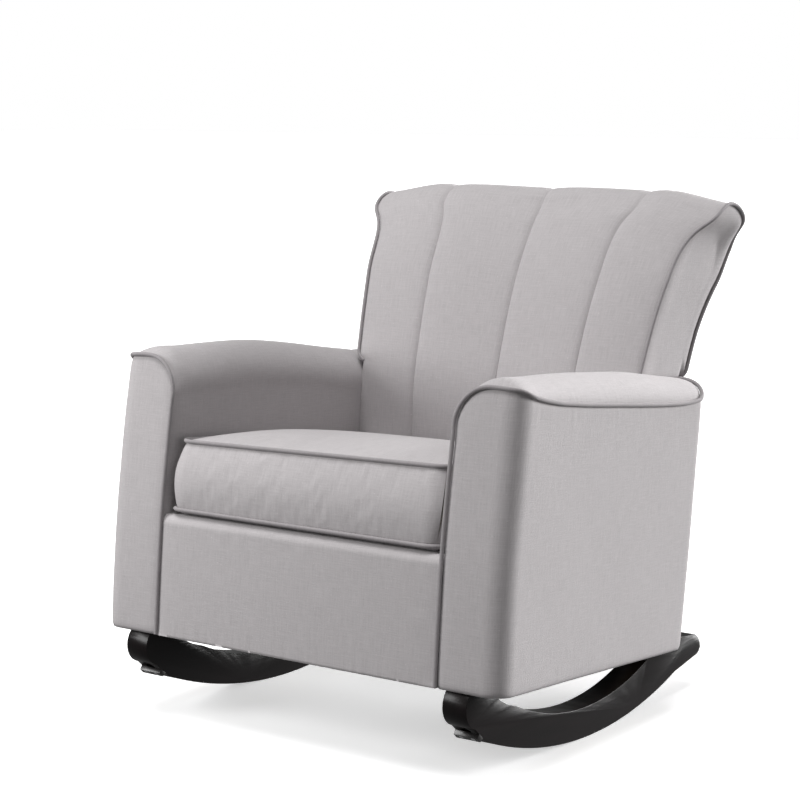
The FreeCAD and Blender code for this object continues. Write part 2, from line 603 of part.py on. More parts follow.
def cushion_nodes():
    """Foam, cover, piping and zip of the loose cushion."""
    outer = cushion_solid(0)
    high, high_groove = piping(cushion_seam(CUSHION_FRONT_HIGH, CUSHION_SEAM_HIGH),
                               CUSHION_CORNER, True)
    low, low_groove = piping(cushion_seam(CUSHION_FRONT_LOW, CUSHION_SEAM_LOW), CUSHION_CORNER,
                             True)
    grooves = Part.makeCompound([high_groove, low_groove])
    core = cushion_solid(COVER_THICKNESS + CORE_GAP)
    cover = outer.cut(cushion_solid(COVER_THICKNESS)).cut(grooves)
    tape_rear = CUSHION_REAR + ZIP_TAPE_THICKNESS
    half_zip = ZIP_LENGTH / 2
    tape = box(-half_zip, half_zip, CUSHION_REAR, tape_rear, ZIP_HEIGHT - ZIP_TAPE_WIDTH / 2,
               ZIP_HEIGHT + ZIP_TAPE_WIDTH / 2)
    chain = box(-half_zip + 6, half_zip - 6, tape_rear, tape_rear + ZIP_CHAIN_THICKNESS,
                ZIP_HEIGHT - ZIP_CHAIN_WIDTH / 2, ZIP_HEIGHT + ZIP_CHAIN_WIDTH / 2)
    x1 = half_zip - 8
    x0 = x1 - SLIDER_LENGTH
    y0 = tape_rear + SLIDER_GAP
    y1 = y0 + SLIDER_THICKNESS
    slider = box(x0, x1, y0, y1, ZIP_HEIGHT - SLIDER_WIDTH / 2, ZIP_HEIGHT + SLIDER_WIDTH / 2)
    slider = slider.cut(box(x0 - 1, x1 + 1, y0 - 1, tape_rear + ZIP_CHAIN_THICKNESS + SLIDER_GAP,
                            ZIP_HEIGHT - ZIP_CHAIN_WIDTH / 2 - SLIDER_GAP,
                            ZIP_HEIGHT + ZIP_CHAIN_WIDTH / 2 + SLIDER_GAP))
    pull = box(x0 + 2.5, x1 - 2.5, y1, y1 + 1.2, ZIP_HEIGHT - PULL_LENGTH, ZIP_HEIGHT + 1)
    return {
        "cushion_core": core.cut(grooves),
        "cushion_cover": cover,
        "cushion_top_piping": high,
        "cushion_bottom_piping": low,
        "zip_tape": tape.fuse(chain),
        "zip_slider": slider,
        "zip_pull": pull,
    }


# --- rockers ----------------------------------------------------------------------------------
def underside(y):
    """Height of the tipped underside above the floor, at a distance behind the front edge."""
    return UNDERSIDE_HEIGHT - TAN_PITCH * y


def lower_arc(y):
    run = y - ROCKER_CONTACT
    return ROCKER_RADIUS - math.sqrt(ROCKER_RADIUS ** 2 - run ** 2)


def upper_arc(y):
    run = y - ROCKER_TOP_CENTRE
    return ROCKER_DEPTH + ROCKER_TOP_RADIUS - math.sqrt(ROCKER_TOP_RADIUS ** 2 - run ** 2)


def rocker_outline():
    """Side outline of a rocker, in the level frame that stands on the floor."""
    nose_top = (6, underside(6))
    heel = (50, lower_arc(50))
    cheek = (20, 92)
    scoop_front, scoop_rear = 140, BODY_DEPTH - 42
    scoop_middle = (scoop_front + scoop_rear) / 2
    tail_top = (BODY_DEPTH + 118, underside(BODY_DEPTH + 118) - 3)
    tail_tip = (TAIL_END, 72)
    tail_low = (TAIL_END - 14, lower_arc(TAIL_KINK) + 14)
    middle = (heel[0] + TAIL_KINK) / 2
    return [
        [nose_top, (-5, 122), cheek],
        [cheek, heel],
        [heel, (middle, lower_arc(middle)), (TAIL_KINK, lower_arc(TAIL_KINK))],
        [(TAIL_KINK, lower_arc(TAIL_KINK)), tail_low],
        [tail_low, (TAIL_END - 3, 66), tail_tip],
        [tail_tip, (TAIL_END - 10, 90), tail_top],
        [tail_top, (BODY_DEPTH + 14, underside(BODY_DEPTH + 14))],
        [(BODY_DEPTH + 14, underside(BODY_DEPTH + 14)), (REAR_PAD_START,
                                                         underside(REAR_PAD_START))],
        [(REAR_PAD_START, underside(REAR_PAD_START)), (REAR_PAD_START - 4.5, 94),
         (scoop_rear, upper_arc(scoop_rear))],
        [(scoop_rear, upper_arc(scoop_rear)), (scoop_middle, upper_arc(scoop_middle)),
         (scoop_front, upper_arc(scoop_front))],
        [(scoop_front, upper_arc(scoop_front)), (92, 120.5), (FRONT_PAD_END,
                                                              underside(FRONT_PAD_END))],
        [(FRONT_PAD_END, underside(FRONT_PAD_END)), nose_top],
    ]


def stop_frame():
    """Start, direction along the rocker's edge and outward direction of the front stop."""
    cheek, heel = vec(0, 20, 92), vec(0, 50, lower_arc(50))
    along = (heel - cheek).normalize()
    outward = vec(0, along.z, -along.y)
    return cheek + along * 14, along, outward


def rocker_nodes():
    """Pieces of the right rocker, in the frame that stands on the floor."""
    x0 = ROCKER_X - ROCKER_THICKNESS / 2
    x1 = ROCKER_X + ROCKER_THICKNESS / 2
    rocker = side_prism(rocker_outline(), x0, x1)
    start, along, outward = stop_frame()
    corners = [start, start + along * STOP_LENGTH,
               start + along * (STOP_LENGTH - 2) + outward * STOP_HEIGHT,
               start + along * 1 + outward * STOP_HEIGHT]
    wire = Part.makePolygon(corners + corners[:1])
    stop = Part.Face(wire).extrude(vec(ROCKER_THICKNESS, 0, 0))
    stop.translate(vec(x0, 0, 0))
    screws = []
    for x in (x0 + 11, x1 - 11):
        seat = start + along * (STOP_LENGTH / 2) + outward * STOP_HEIGHT + vec(x, 0, 0)
        shank = Part.makeCylinder(SCREW_RADIUS, 24, seat, outward * -1)
        head = Part.makeCone(SCREW_HEAD_RADIUS, SCREW_RADIUS, 3.0, seat, outward * -1)
        screws.append(shank.fuse(head))
    stop_screws = Part.makeCompound(screws)
    stop = stop.cut(stop_screws)
    rocker = rocker.cut(stop_screws)

    up = vec(0, math.sin(math.radians(PITCH)), math.cos(math.radians(PITCH)))
    bolts, washers, nuts, nut_holes = [], [], [], []
    for y in (FRONT_BOLT_Y, REAR_BOLT_Y):
        face = vec(ROCKER_X, y, underside(y))
        seat = face - up * BOLT_GRIP
        rocker = rocker.cut(Part.makeCylinder(BOLT_RADIUS + BOLT_CLEARANCE, BOLT_GRIP + 20,
                                              seat - up * 10, up))
        rocker = rocker.cut(Part.makeCylinder(COUNTERBORE_RADIUS, 120, seat, up * -1))
        washer = Part.makeCylinder(WASHER_RADIUS, WASHER_THICKNESS, seat, up * -1)
        washers.append(washer.cut(Part.makeCylinder(BOLT_RADIUS + BOLT_CLEARANCE, 20,
                                                    seat - up * 10, up)))
        under = seat - up * WASHER_THICKNESS
        shank = Part.makeCylinder(BOLT_RADIUS, BOLT_GRIP + WASHER_THICKNESS
                                  + BOTTOM_RAIL_HEIGHT - 4, under, up)
        head = Part.makeCylinder(BOLT_HEAD_RADIUS, BOLT_HEAD_HEIGHT, under, up * -1)
        socket = Part.makeCylinder(SOCKET_RADIUS, 4, under - up * BOLT_HEAD_HEIGHT, up)
        bolts.append(head.fuse(shank).cut(socket))
        barrel = Part.makeCylinder(NUT_BARREL_RADIUS, BOTTOM_RAIL_HEIGHT - 8,
                                   face + up * 8, up)
        flange = Part.makeCylinder(NUT_FLANGE_RADIUS, 1.6,
                                   face + up * (BOTTOM_RAIL_HEIGHT - 1.6), up)
        bore = Part.makeCylinder(BOLT_RADIUS, 60, face - up, up)
        nuts.append(barrel.fuse(flange).cut(bore))
        nut_holes.append(barrel.fuse(flange).fuse(bore))
    groups = {"stop_screws": screws, "rocker_bolts": bolts, "rocker_washers": washers,
              "rocker_tee_nuts": nuts}
    return {"rocker": rocker, "rocker_stop": stop}, groups, nut_holes


# --- assembly ---------------------------------------------------------------------------------
def tipped(shape):
    """A shape of the level body, tipped back and lifted onto the rockers."""
    placed = shape.copy()
    placed.rotate(vec(0, 0, 0), vec(1, 0, 0), -PITCH)
    placed.translate(vec(0, 0, UNDERSIDE_HEIGHT))
    return placed


def build():
    """All nodes by name, standing on the floor with the origin under the middle of their box."""
    level = {}
    for name, shape in arm_nodes().items():
        level[name + "_right"] = shape
        level[name + "_left"] = mirrored(shape)
    level.update(seat_nodes())
    level.update(back_nodes())
    level.update(cushion_nodes())
    nodes = {name: tipped(shape) for name, shape in level.items()}

    singles, groups, nut_holes = rocker_nodes()
    for name, shape in singles.items():
        nodes[name + "_right"] = shape
        nodes[name + "_left"] = mirrored(shape)
    for name, shapes in groups.items():
        nodes[name] = Part.makeCompound(shapes + [mirrored(s) for s in shapes])
    for side in ("_left", "_right"):
        rail = nodes["arm_bottom_rail" + side]
        for hole in nut_holes:
            rail = rail.cut(hole if side == "_right" else mirrored(hole))
        nodes["arm_bottom_rail" + side] = rail

    limits = Part.makeCompound(list(nodes.values())).optimalBoundingBox(False, False)
    shift = vec(0, -(limits.YMin + limits.YMax) / 2, 0)
    for shape in nodes.values():
        shape.translate(shift)
    return nodes


def main():
    os.makedirs("parts", exist_ok=True)
    nodes = build()
    for name, shape in nodes.items():
        shape.exportStep("parts/" + name + ".step")
    limits = Part.makeCompound(list(nodes.values())).optimalBoundingBox(False, False)
    print("nodes", len(nodes))
    print("size", round(limits.XLength, 1), round(limits.YLength, 1), round(limits.ZLength, 1))


main()
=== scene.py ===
import json
import logging
import math
from dataclasses import dataclass
from enum import Enum
from typing import Callable, Sequence

import bmesh
import bpy
import numpy as np
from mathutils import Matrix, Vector
from mathutils.kdtree import KDTree


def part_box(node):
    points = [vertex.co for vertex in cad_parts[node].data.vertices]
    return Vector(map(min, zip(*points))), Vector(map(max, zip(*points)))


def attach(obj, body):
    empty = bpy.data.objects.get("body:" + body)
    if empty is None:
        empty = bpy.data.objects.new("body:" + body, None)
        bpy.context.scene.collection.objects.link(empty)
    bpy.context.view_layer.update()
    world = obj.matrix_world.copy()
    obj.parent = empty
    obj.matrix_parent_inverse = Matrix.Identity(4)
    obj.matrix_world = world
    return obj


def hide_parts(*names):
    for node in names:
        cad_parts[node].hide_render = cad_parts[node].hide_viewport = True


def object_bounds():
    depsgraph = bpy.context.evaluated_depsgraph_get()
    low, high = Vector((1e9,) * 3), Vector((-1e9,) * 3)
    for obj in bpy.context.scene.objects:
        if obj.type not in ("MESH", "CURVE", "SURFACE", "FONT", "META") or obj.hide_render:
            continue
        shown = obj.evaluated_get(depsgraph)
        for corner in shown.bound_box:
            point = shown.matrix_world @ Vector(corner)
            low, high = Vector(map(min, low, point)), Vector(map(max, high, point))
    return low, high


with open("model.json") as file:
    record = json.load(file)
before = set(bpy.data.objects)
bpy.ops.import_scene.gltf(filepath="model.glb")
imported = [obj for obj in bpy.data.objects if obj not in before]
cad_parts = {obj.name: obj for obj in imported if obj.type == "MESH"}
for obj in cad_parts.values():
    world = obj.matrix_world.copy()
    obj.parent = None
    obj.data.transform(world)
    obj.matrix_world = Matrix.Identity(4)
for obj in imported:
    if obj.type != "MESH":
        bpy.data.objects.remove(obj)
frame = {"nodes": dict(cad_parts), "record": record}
CAD_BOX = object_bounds()
LOG = logging.getLogger("nursery_rocker")
MM = 0.001
CORD_STEP = 0.003
CORD_SIDES = 14


# --- drawing frame ------------------------------------------------------------------------------
class Side(Enum):
    """Side of the chair, as its sign along X."""

    LEFT = -1
    RIGHT = 1

    @property
    def suffix(self) -> str:
        """Name ending of the pieces on this side."""
        return self.name.lower()


@dataclass(frozen=True)
class BodyFrame:
    """The padded body's own level frame, tipped back and stood on the rockers.

    Points of the body are drawn in millimetres: X across, Y from the front face rearwards, Z up
    from the underside.
    """

    pitch: float
    front: float
    height: float

    @classmethod
    def of_chair(cls) -> "BodyFrame":
        """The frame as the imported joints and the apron's box give it.

        Returns:
            The body's frame.
        """
        lift = next(j for j in frame["record"]["behaviour"]["joints"]
                    if j["name"] == "cushion_lift")
        pitch = math.atan2(lift["axis"][1], lift["axis"][2])
        low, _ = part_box("front_apron")
        apron_thickness = 0.0235
        return cls(pitch, low.y, low.z + apron_thickness * math.sin(pitch))

    def place(self, points: np.ndarray) -> np.ndarray:
        """Carry points from the body's frame into the row frame.

        Args:
            points: Array whose last axis is (x, y, z) in millimetres.

        Returns:
            The same points in metres.
        """
        p = np.asarray(points, float) * MM
        c, s = math.cos(self.pitch), math.sin(self.pitch)
        return np.stack([p[..., 0], self.front + p[..., 1] * c + p[..., 2] * s,
                         self.height - p[..., 1] * s + p[..., 2] * c], axis=-1)


BODY = BodyFrame.of_chair()


# --- curves and grids ---------------------------------------------------------------------------
def arc(p0: Sequence[float], p1: Sequence[float], p2: Sequence[float], count: int) -> np.ndarray:
    """Points along the circular arc through three plane points.

    Args:
        p0: Start.
        p1: A point between.
        p2: End.
        count: Number of points.

    Returns:
        Array of shape (count, 2).
    """
    a, b, c = (np.asarray(p, float) for p in (p0, p1, p2))
    m = 2 * np.array([b - a, c - a])
    centre = np.linalg.solve(m, np.array([b @ b - a @ a, c @ c - a @ a]))
    angles = [math.atan2(*(p - centre)[::-1]) for p in (a, b, c)]
    turn = (angles[2] - angles[0]) % math.tau
    if (angles[1] - angles[0]) % math.tau > turn:
        turn -= math.tau
    swept = angles[0] + np.linspace(0, turn, count)
    radius = np.linalg.norm(a - centre)
    return centre + radius * np.stack([np.cos(swept), np.sin(swept)], -1)


def smooth_through(points: Sequence[Sequence[float]], per_span: int = 24) -> np.ndarray:
    """A smooth line through points, with tangents that never overshoot much.

    Args:
        points: Points of any dimension.
        per_span: Samples between neighbours.

    Returns:
        Dense points along the line.
    """
    p = np.asarray(points, float)
    gap = np.linalg.norm(np.diff(p, axis=0), axis=1)
    slope = np.diff(p, axis=0) / gap[:, None]
    tangent = np.empty_like(p)
    tangent[0], tangent[-1] = slope[0], slope[-1]
    w = gap[:-1, None] / (gap[:-1, None] + gap[1:, None])
    tangent[1:-1] = slope[:-1] * (1 - w) + slope[1:] * w
    t = np.linspace(0, 1, per_span, endpoint=False)[:, None]
    out = []
    for i, g in enumerate(gap):
        h = (2 * t**3 - 3 * t**2 + 1) * p[i] + (t**3 - 2 * t**2 + t) * g * tangent[i]
        h = h + (-2 * t**3 + 3 * t**2) * p[i + 1] + (t**3 - t**2) * g * tangent[i + 1]
        out.append(h)
    out.append(p[-1:])
    return np.concatenate(out)


def lengths(points: np.ndarray) -> np.ndarray:
    """Distance along a line at each of its points."""
    return np.concatenate([[0.0], np.cumsum(np.linalg.norm(np.diff(points, axis=0), axis=1))])


def spaced(points: np.ndarray, count: int) -> np.ndarray:
    """Evenly spaced points along a line.

    Args:
        points: Dense points.
        count: Number of points wanted.

    Returns:
        Array of shape (count, dimensions).
    """
    run = lengths(points)
    at = np.linspace(0, run[-1], count)
    return np.stack([np.interp(at, run, points[:, k]) for k in range(points.shape[1])], -1)


def table(x: np.ndarray, pairs: Sequence[tuple[float, float]]) -> np.ndarray:
    """Smooth look-up of a value in a table of pairs."""
    line = smooth_through(pairs, 12)
    return np.interp(x, line[:, 0], line[:, 1])


def coons(bottom: np.ndarray, top: np.ndarray, left: np.ndarray, right: np.ndarray) -> np.ndarray:
    """Grid that fills four edges.

    Args:
        bottom: Points from the first corner to the second.
        top: Points from the fourth corner to the third.
        left: Points from the first corner to the fourth.
        right: Points from the second corner to the third.

    Returns:
        Array of shape (len(left), len(bottom), 3).
    """
    u = np.linspace(0, 1, len(bottom))[None, :, None]
    v = np.linspace(0, 1, len(left))[:, None, None]
    ruled = (1 - v) * bottom[None] + v * top[None] + (1 - u) * left[:, None] + u * right[:, None]
    corners = ((1 - u) * (1 - v) * bottom[0] + u * (1 - v) * bottom[-1]
               + (1 - u) * v * top[0] + u * v * top[-1])
    return ruled - corners


def ease(x: np.ndarray) -> np.ndarray:
    """Smooth step from 0 to 1."""
    t = np.clip(x, 0, 1)
    return t * t * (3 - 2 * t)


def ripple(x: np.ndarray, wave: float, seed: float) -> np.ndarray:
    """Uneven repeating wave, as of cloth gathered along a seam, between about -1 and 1."""
    k = math.tau / wave
    drift = 1.7 * np.sin(0.31 * k * x + seed) + 1.1 * np.sin(0.173 * k * x + 2.1 * seed)
    size = 0.55 + 0.45 * np.sin(0.23 * k * x + 1.3 * seed) * np.sin(0.091 * k * x + seed)
    return size * np.sin(k * x + drift)


# --- mesh building ------------------------------------------------------------------------------
class Shell:
    """Quads gathered from grids of body-frame points, each with a UV map in metres."""

    def __init__(self, name: str) -> None:
        """Start an empty shell.

        Args:
            name: Name of the piece.
        """
        self.name = name
        self.points: list[np.ndarray] = []
        self.uvs: list[np.ndarray] = []
        self.quads: list[np.ndarray] = []
        self.count = 0

    def grid(self, points: np.ndarray, uv: np.ndarray, flip: bool = False) -> None:
        """Add a grid of quads.

        Args:
            points: Array (rows, columns, 3) in millimetres.
            uv: Array (rows, columns, 2) in millimetres of cloth.
            flip: Turn the faces over.
        """
        rows, cols = points.shape[:2]
        index = np.arange(rows * cols).reshape(rows, cols) + self.count
        quad = np.stack([index[:-1, :-1], index[:-1, 1:], index[1:, 1:], index[1:, :-1]], -1)
        quad = quad.reshape(-1, 4)
        self.quads.append(quad[:, ::-1] if flip else quad)
        self.points.append(points.reshape(-1, 3))
        self.uvs.append(uv.reshape(-1, 2) * MM)
        self.count += rows * cols

    def build(self) -> bpy.types.Object:
        """Make the object, still in body millimetres, with coincident points merged.

        Returns:
            The new object.
        """
        points = np.concatenate(self.points)
        quads = np.concatenate(self.quads)
        uv = np.concatenate(self.uvs)
        mesh = bpy.data.meshes.new(self.name)
        mesh.from_pydata(points.tolist(), [], quads.tolist())
        layer = mesh.uv_layers.new(name="UVMap")
        layer.data.foreach_set("uv", uv[quads.ravel()].astype(np.float32).ravel())
        bm = bmesh.new()
        bm.from_mesh(mesh)
        bmesh.ops.remove_doubles(bm, verts=bm.verts, dist=0.02)
        bmesh.ops.dissolve_degenerate(bm, edges=bm.edges, dist=0.001)
        bmesh.ops.recalc_face_normals(bm, faces=bm.faces)
        middle = sum((v.co for v in bm.verts), Vector()) / len(bm.verts)
        facing = sum(f.calc_area() * f.normal.dot(f.calc_center_median() - middle)
                     for f in bm.faces)
        if facing < 0:
            bmesh.ops.reverse_faces(bm, faces=bm.faces)
        loose = sum(1 for e in bm.edges if not e.is_manifold)
        bm.to_mesh(mesh)
        bm.free()
        mesh.shade_smooth()
        obj = bpy.data.objects.new(self.name, mesh)
        bpy.context.scene.collection.objects.link(obj)
        LOG.info("%s: %d faces, %d open edges", self.name, len(mesh.polygons), loose)
        return obj


def coords(obj: bpy.types.Object) -> np.ndarray:
    """Positions of an object's vertices."""
    flat = np.zeros(len(obj.data.vertices) * 3, np.float32)
    obj.data.vertices.foreach_get("co", flat)
    return flat.reshape(-1, 3).astype(float)


def set_coords(obj: bpy.types.Object, points: np.ndarray) -> None:
    """Write an object's vertex positions."""
    obj.data.vertices.foreach_set("co", points.astype(np.float32).ravel())
    obj.data.update()


def normals(obj: bpy.types.Object) -> np.ndarray:
    """Vertex normals of an object."""
    flat = np.zeros(len(obj.data.vertices) * 3, np.float32)
    obj.data.vertex_normals.foreach_get("vector", flat)
    return flat.reshape(-1, 3).astype(float)


@dataclass
class SeamLine:
    """A sewn line on a cover, in body millimetres."""

    points: np.ndarray

    def __post_init__(self) -> None:
        """Resample the line closely and index it."""
        run = lengths(self.points)[-1]
        self.points = spaced(self.points, max(int(run / 1.5), 8))
        self.tree = KDTree(len(self.points))
        for i, p in enumerate(self.points):
            self.tree.insert(Vector(p), i)
        self.tree.balance()
        self.run = lengths(self.points)

    def reach(self, points: np.ndarray) -> tuple[np.ndarray, np.ndarray]:
        """Distance from the line and place along it for many points.

        Args:
            points: Array (n, 3).

        Returns:
            Distances and the run along the line, each of length n.
        """
        near = np.array([self.tree.find(Vector(p))[1] for p in points])
        best, run = np.full(len(points), 1e9), np.zeros(len(points))
        for first in (near - 1, near):
            first = np.clip(first, 0, len(self.points) - 2)
            a, b = self.points[first], self.points[first + 1]
            t = ((points - a) * (b - a)).sum(1) / ((b - a) ** 2).sum(1)
            t = np.clip(t, 0, 1)
            d = np.linalg.norm(points - a - (b - a) * t[:, None], axis=1)
            closer = d < best
            best[closer] = d[closer]
            run[closer] = (self.run[first] + t * (self.run[first + 1] - self.run[first]))[closer]
        return best, run


def seam_field(seams: Sequence[SeamLine], points: np.ndarray) -> tuple[np.ndarray, np.ndarray]:
    """Nearest seam's distance and run for many points.

    Args:
        seams: The lines.
        points: Array (n, 3).

    Returns:
        Distances and runs.
    """
    best = np.full(len(points), 1e9)
    run = np.zeros(len(points))
    for k, seam in enumerate(seams):
        d, r = seam.reach(points)
        near = d < best
        best[near] = d[near]
        run[near] = r[near] + 1000.0 * k
    return best, run


@dataclass
class Upholstery:
    """How tightly a cover is sewn and filled, in millimetres."""

    pull: float = 3.2
    pull_width: float = 7.0
    puff: float = 1.6
    puff_width: float = 38.0
    pucker: float = 0.55
    pucker_wave: float = 15.0
    pucker_reach: float = 24.0
    unevenness: float = 0.8

    def dress(self, obj: bpy.types.Object, seams: Sequence[SeamLine], seed: float,
              keep: Callable[[np.ndarray], np.ndarray] | None = None) -> None:
        """Pull a cover in at its seams, fill it between them and gather it a little.

        Args:
            obj: The cover, in body millimetres.
            seams: Its sewn lines.
            seed: Phase of the unevenness.
            keep: Gives a factor from 0 (left as drawn) to 1 for each point.
        """
        p, own = coords(obj), normals(obj)
        d, run = seam_field(seams, p)
        sewn = np.nonzero(d < 0.12)[0]
        shared = own
        if len(sewn):
            tree = KDTree(len(sewn))
            for i in sewn:
                tree.insert(Vector(p[i]), int(i))
            tree.balance()
            shared = own[[tree.find(Vector(q))[1] for q in p]]
        at_seam = np.exp(-((d / self.pull_width) ** 2))[:, None]
        heading = own * (1 - at_seam) + shared * at_seam
        move = -self.pull * np.exp(-((d / self.pull_width) ** 1.4))
        move += self.puff * (1 - np.exp(-d / self.puff_width))
        gather = np.exp(-d / self.pucker_reach) * (1 - np.exp(-d / 4.0))
        move += self.pucker * gather * ripple(run, self.pucker_wave, seed)
        soft = np.sin(p[:, 0] / 41 + seed) * np.sin(p[:, 1] / 57 + 1.7 * seed)
        soft += 0.8 * np.sin(p[:, 2] / 49 + 0.6 * seed) * np.sin((p[:, 0] + p[:, 1]) / 33)
        move += 0.5 * self.unevenness * soft * (1 - np.exp(-d / 30))
        if keep is not None:
            move *= keep(p)
        set_coords(obj, p + heading * move[:, None])


def inflate(obj: bpy.types.Object, pinned: np.ndarray, pressure: float, growth: float,
            cap: float, steps: int = 20) -> None:
    """Blow a cover up as cloth, held at its seams, and keep the result.

    Args:
        obj: The cover, in the row frame, in metres.
        pinned: Weight from 0 to 1 for each vertex; 1 is held.
        pressure: Air pressure of the cloth solver.
        growth: How much larger the cloth is than the shape, as a fraction.
        cap: Furthest that a point may move, in metres.
        steps: Frames to run.
    """
    before = coords(obj)
    group = obj.vertex_groups.new(name="held")
    for weight in np.unique(pinned):
        if weight > 0:
            group.add(np.nonzero(pinned == weight)[0].tolist(), float(weight), "REPLACE")
    cloth = obj.modifiers.new("cloth", "CLOTH")
    s = cloth.settings
    s.quality = 4
    s.mass = 0.2
    s.tension_stiffness = s.compression_stiffness = 12
    s.shear_stiffness = 4
    s.bending_stiffness = 0.35
    s.vertex_group_mass = group.name
    s.use_pressure = True
    s.uniform_pressure_force = pressure
    s.shrink_min = -growth
    s.effector_weights.gravity = 0
    cloth.collision_settings.use_collision = False
    cloth.point_cache.frame_start = 1
    cloth.point_cache.frame_end = steps
    scene = bpy.context.scene
    for step in range(1, steps + 1):
        scene.frame_set(step)
    moved = coords(obj.evaluated_get(bpy.context.evaluated_depsgraph_get())) - before
    obj.modifiers.remove(cloth)
    obj.vertex_groups.remove(group)
    scene.frame_set(1)
    size = np.linalg.norm(moved, axis=1)
    moved *= (cap * np.tanh(size / cap) / np.maximum(size, 1e-9))[:, None]
    set_coords(obj, before + moved)
    LOG.info("%s: cloth moved up to %.1f mm", obj.name, size.max() / MM)


def to_row(obj: bpy.types.Object) -> bpy.types.Object:
    """Carry an object's mesh from body millimetres into the row frame."""
    set_coords(obj, BODY.place(coords(obj)))
    return obj


def wall(obj: bpy.types.Object, thickness: float,
         share: Callable[[np.ndarray], np.ndarray] | None = None) -> None:
    """Give an open cover its padding's thickness, inwards, and close its rims.

    Args:
        obj: The cover, in body millimetres.
        thickness: Full thickness.
        share: Gives the part of the thickness at each point.
    """
    p = coords(obj)
    depth = thickness * (np.ones(len(p)) if share is None else share(p))
    inner = p - normals(obj) * depth[:, None]
    bm = bmesh.new()
    bm.from_mesh(obj.data)
    bm.verts.ensure_lookup_table()
    uv = bm.loops.layers.uv.active
    outer = list(bm.faces)
    rim = [(e.link_loops[0].vert.index, e.link_loops[0].link_loop_next.vert.index,
            e.link_loops[0][uv].uv.copy(), e.link_loops[0].link_loop_next[uv].uv.copy())
           for e in bm.edges if e.is_boundary]
    own = list(bm.verts)
    twin = [bm.verts.new(q) for q in inner]
    for face in outer:
        back = bm.faces.new([twin[v.index] for v in reversed(face.verts)])
        for new, old in zip(back.loops, reversed(face.loops)):
            new[uv].uv = old[uv].uv
    for a, b, uv_a, uv_b in rim:
        edge = bm.faces.new((own[b], own[a], twin[a], twin[b]))
        for loop, value in zip(edge.loops, (uv_b, uv_a, uv_a, uv_b)):
            loop[uv].uv = value
    for face in bm.faces:
        face.smooth = True
    bm.to_mesh(obj.data)
    bm.free()


def settle(obj: bpy.types.Object) -> None:
    """Apply an object's modifiers by replacing its mesh with the evaluated one."""
    graph = bpy.context.evaluated_depsgraph_get()
    graph.update()
    mesh = bpy.data.meshes.new_from_object(obj.evaluated_get(graph))
    obj.modifiers.clear()
    obj.vertex_groups.clear()
    obj.data = mesh


# --- finishes -----------------------------------------------------------------------------------
class Nodes:
    """Short-hand for building a material's node tree."""

    def __init__(self, name: str) -> None:
        """Start a material.

        Args:
            name: Its name.
        """
        self.material = bpy.data.materials.new(name)
        self.material.use_nodes = True
        self.tree = self.material.node_tree
        self.shader = self.tree.nodes["Principled BSDF"]

    def add(self, kind: str, **values: object) -> bpy.types.Node:
        """Add a node, setting attributes and inputs by name.

        Args:
            kind: Node type.
            **values: Attribute values, or inputs where the key starts with "in_"; an input's
                value may be an output socket to link from.

        Returns:
            The node.
        """
        node = self.tree.nodes.new(kind)
        for key, value in values.items():
            if not key.startswith("in_"):
                setattr(node, key, value)
        for key, value in values.items():
            if key.startswith("in_"):
                name = key[3:]
                socket = node.inputs[int(name)] if name.isdigit() else node.inputs[name]
                self.put(socket, value)
        return node

    def put(self, socket: bpy.types.NodeSocket, value: object) -> None:
        """Link or set a socket."""
        if isinstance(value, bpy.types.NodeSocket):
            self.tree.links.new(value, socket)
        else:
            socket.default_value = value

    def math(self, operation: str, a: object, b: object = 0.0) -> bpy.types.NodeSocket:
        """Output of a Math node."""
        return self.add("ShaderNodeMath", operation=operation, in_0=a, in_1=b).outputs[0]

    def ramp(self, value: object, low: float, high: float) -> bpy.types.NodeSocket:
        """Value stretched from low..high to 0..1 and clamped."""
        node = self.add("ShaderNodeMapRange", in_0=value, in_1=low, in_2=high)
        return node.outputs[0]

    def noise(self, vector: object, scale: Sequence[float], size: float = 1.0,
              detail: float = 2.0) -> bpy.types.NodeSocket:
        """Noise on a stretched vector.

        Args:
            vector: Source coordinates.
            scale: Stretch of each axis.
            size: Noise scale.
            detail: Noise detail.

        Returns:
            The factor output.
        """
        m = self.add("ShaderNodeMapping", in_Vector=vector)
        m.inputs["Scale"].default_value = scale
        n = self.add("ShaderNodeTexNoise", in_Vector=m.outputs[0], in_Scale=size,
                     in_Detail=detail)
        return n.outputs["Fac"]

    def blend(self, factor: object, a: Sequence[float] | object,
              b: Sequence[float] | object) -> bpy.types.NodeSocket:
        """Colour between a and b."""
        node = self.add("ShaderNodeMix", data_type="RGBA")
        self.put(node.inputs[0], factor)
        self.put(node.inputs[6], a)
        self.put(node.inputs[7], b)
        return node.outputs[2]

    def bump(self, height: object, distance: float, strength: float = 1.0) -> None:
        """Bump for the shader from a height."""
        node = self.add("ShaderNodeBump", in_Strength=strength, in_Distance=distance,
                        in_Height=height)
        self.tree.links.new(node.outputs["Normal"], self.shader.inputs["Normal"])

    def set(self, **values: object) -> None:
        """Set shader inputs by name, with underscores for spaces."""
        for key, value in values.items():
            self.put(self.shader.inputs[key.replace("_", " ")], value)


class Coordinates(Enum):
    """Which coordinates a pattern reads."""

    CLOTH = "UV"
    PLACE = "Object"


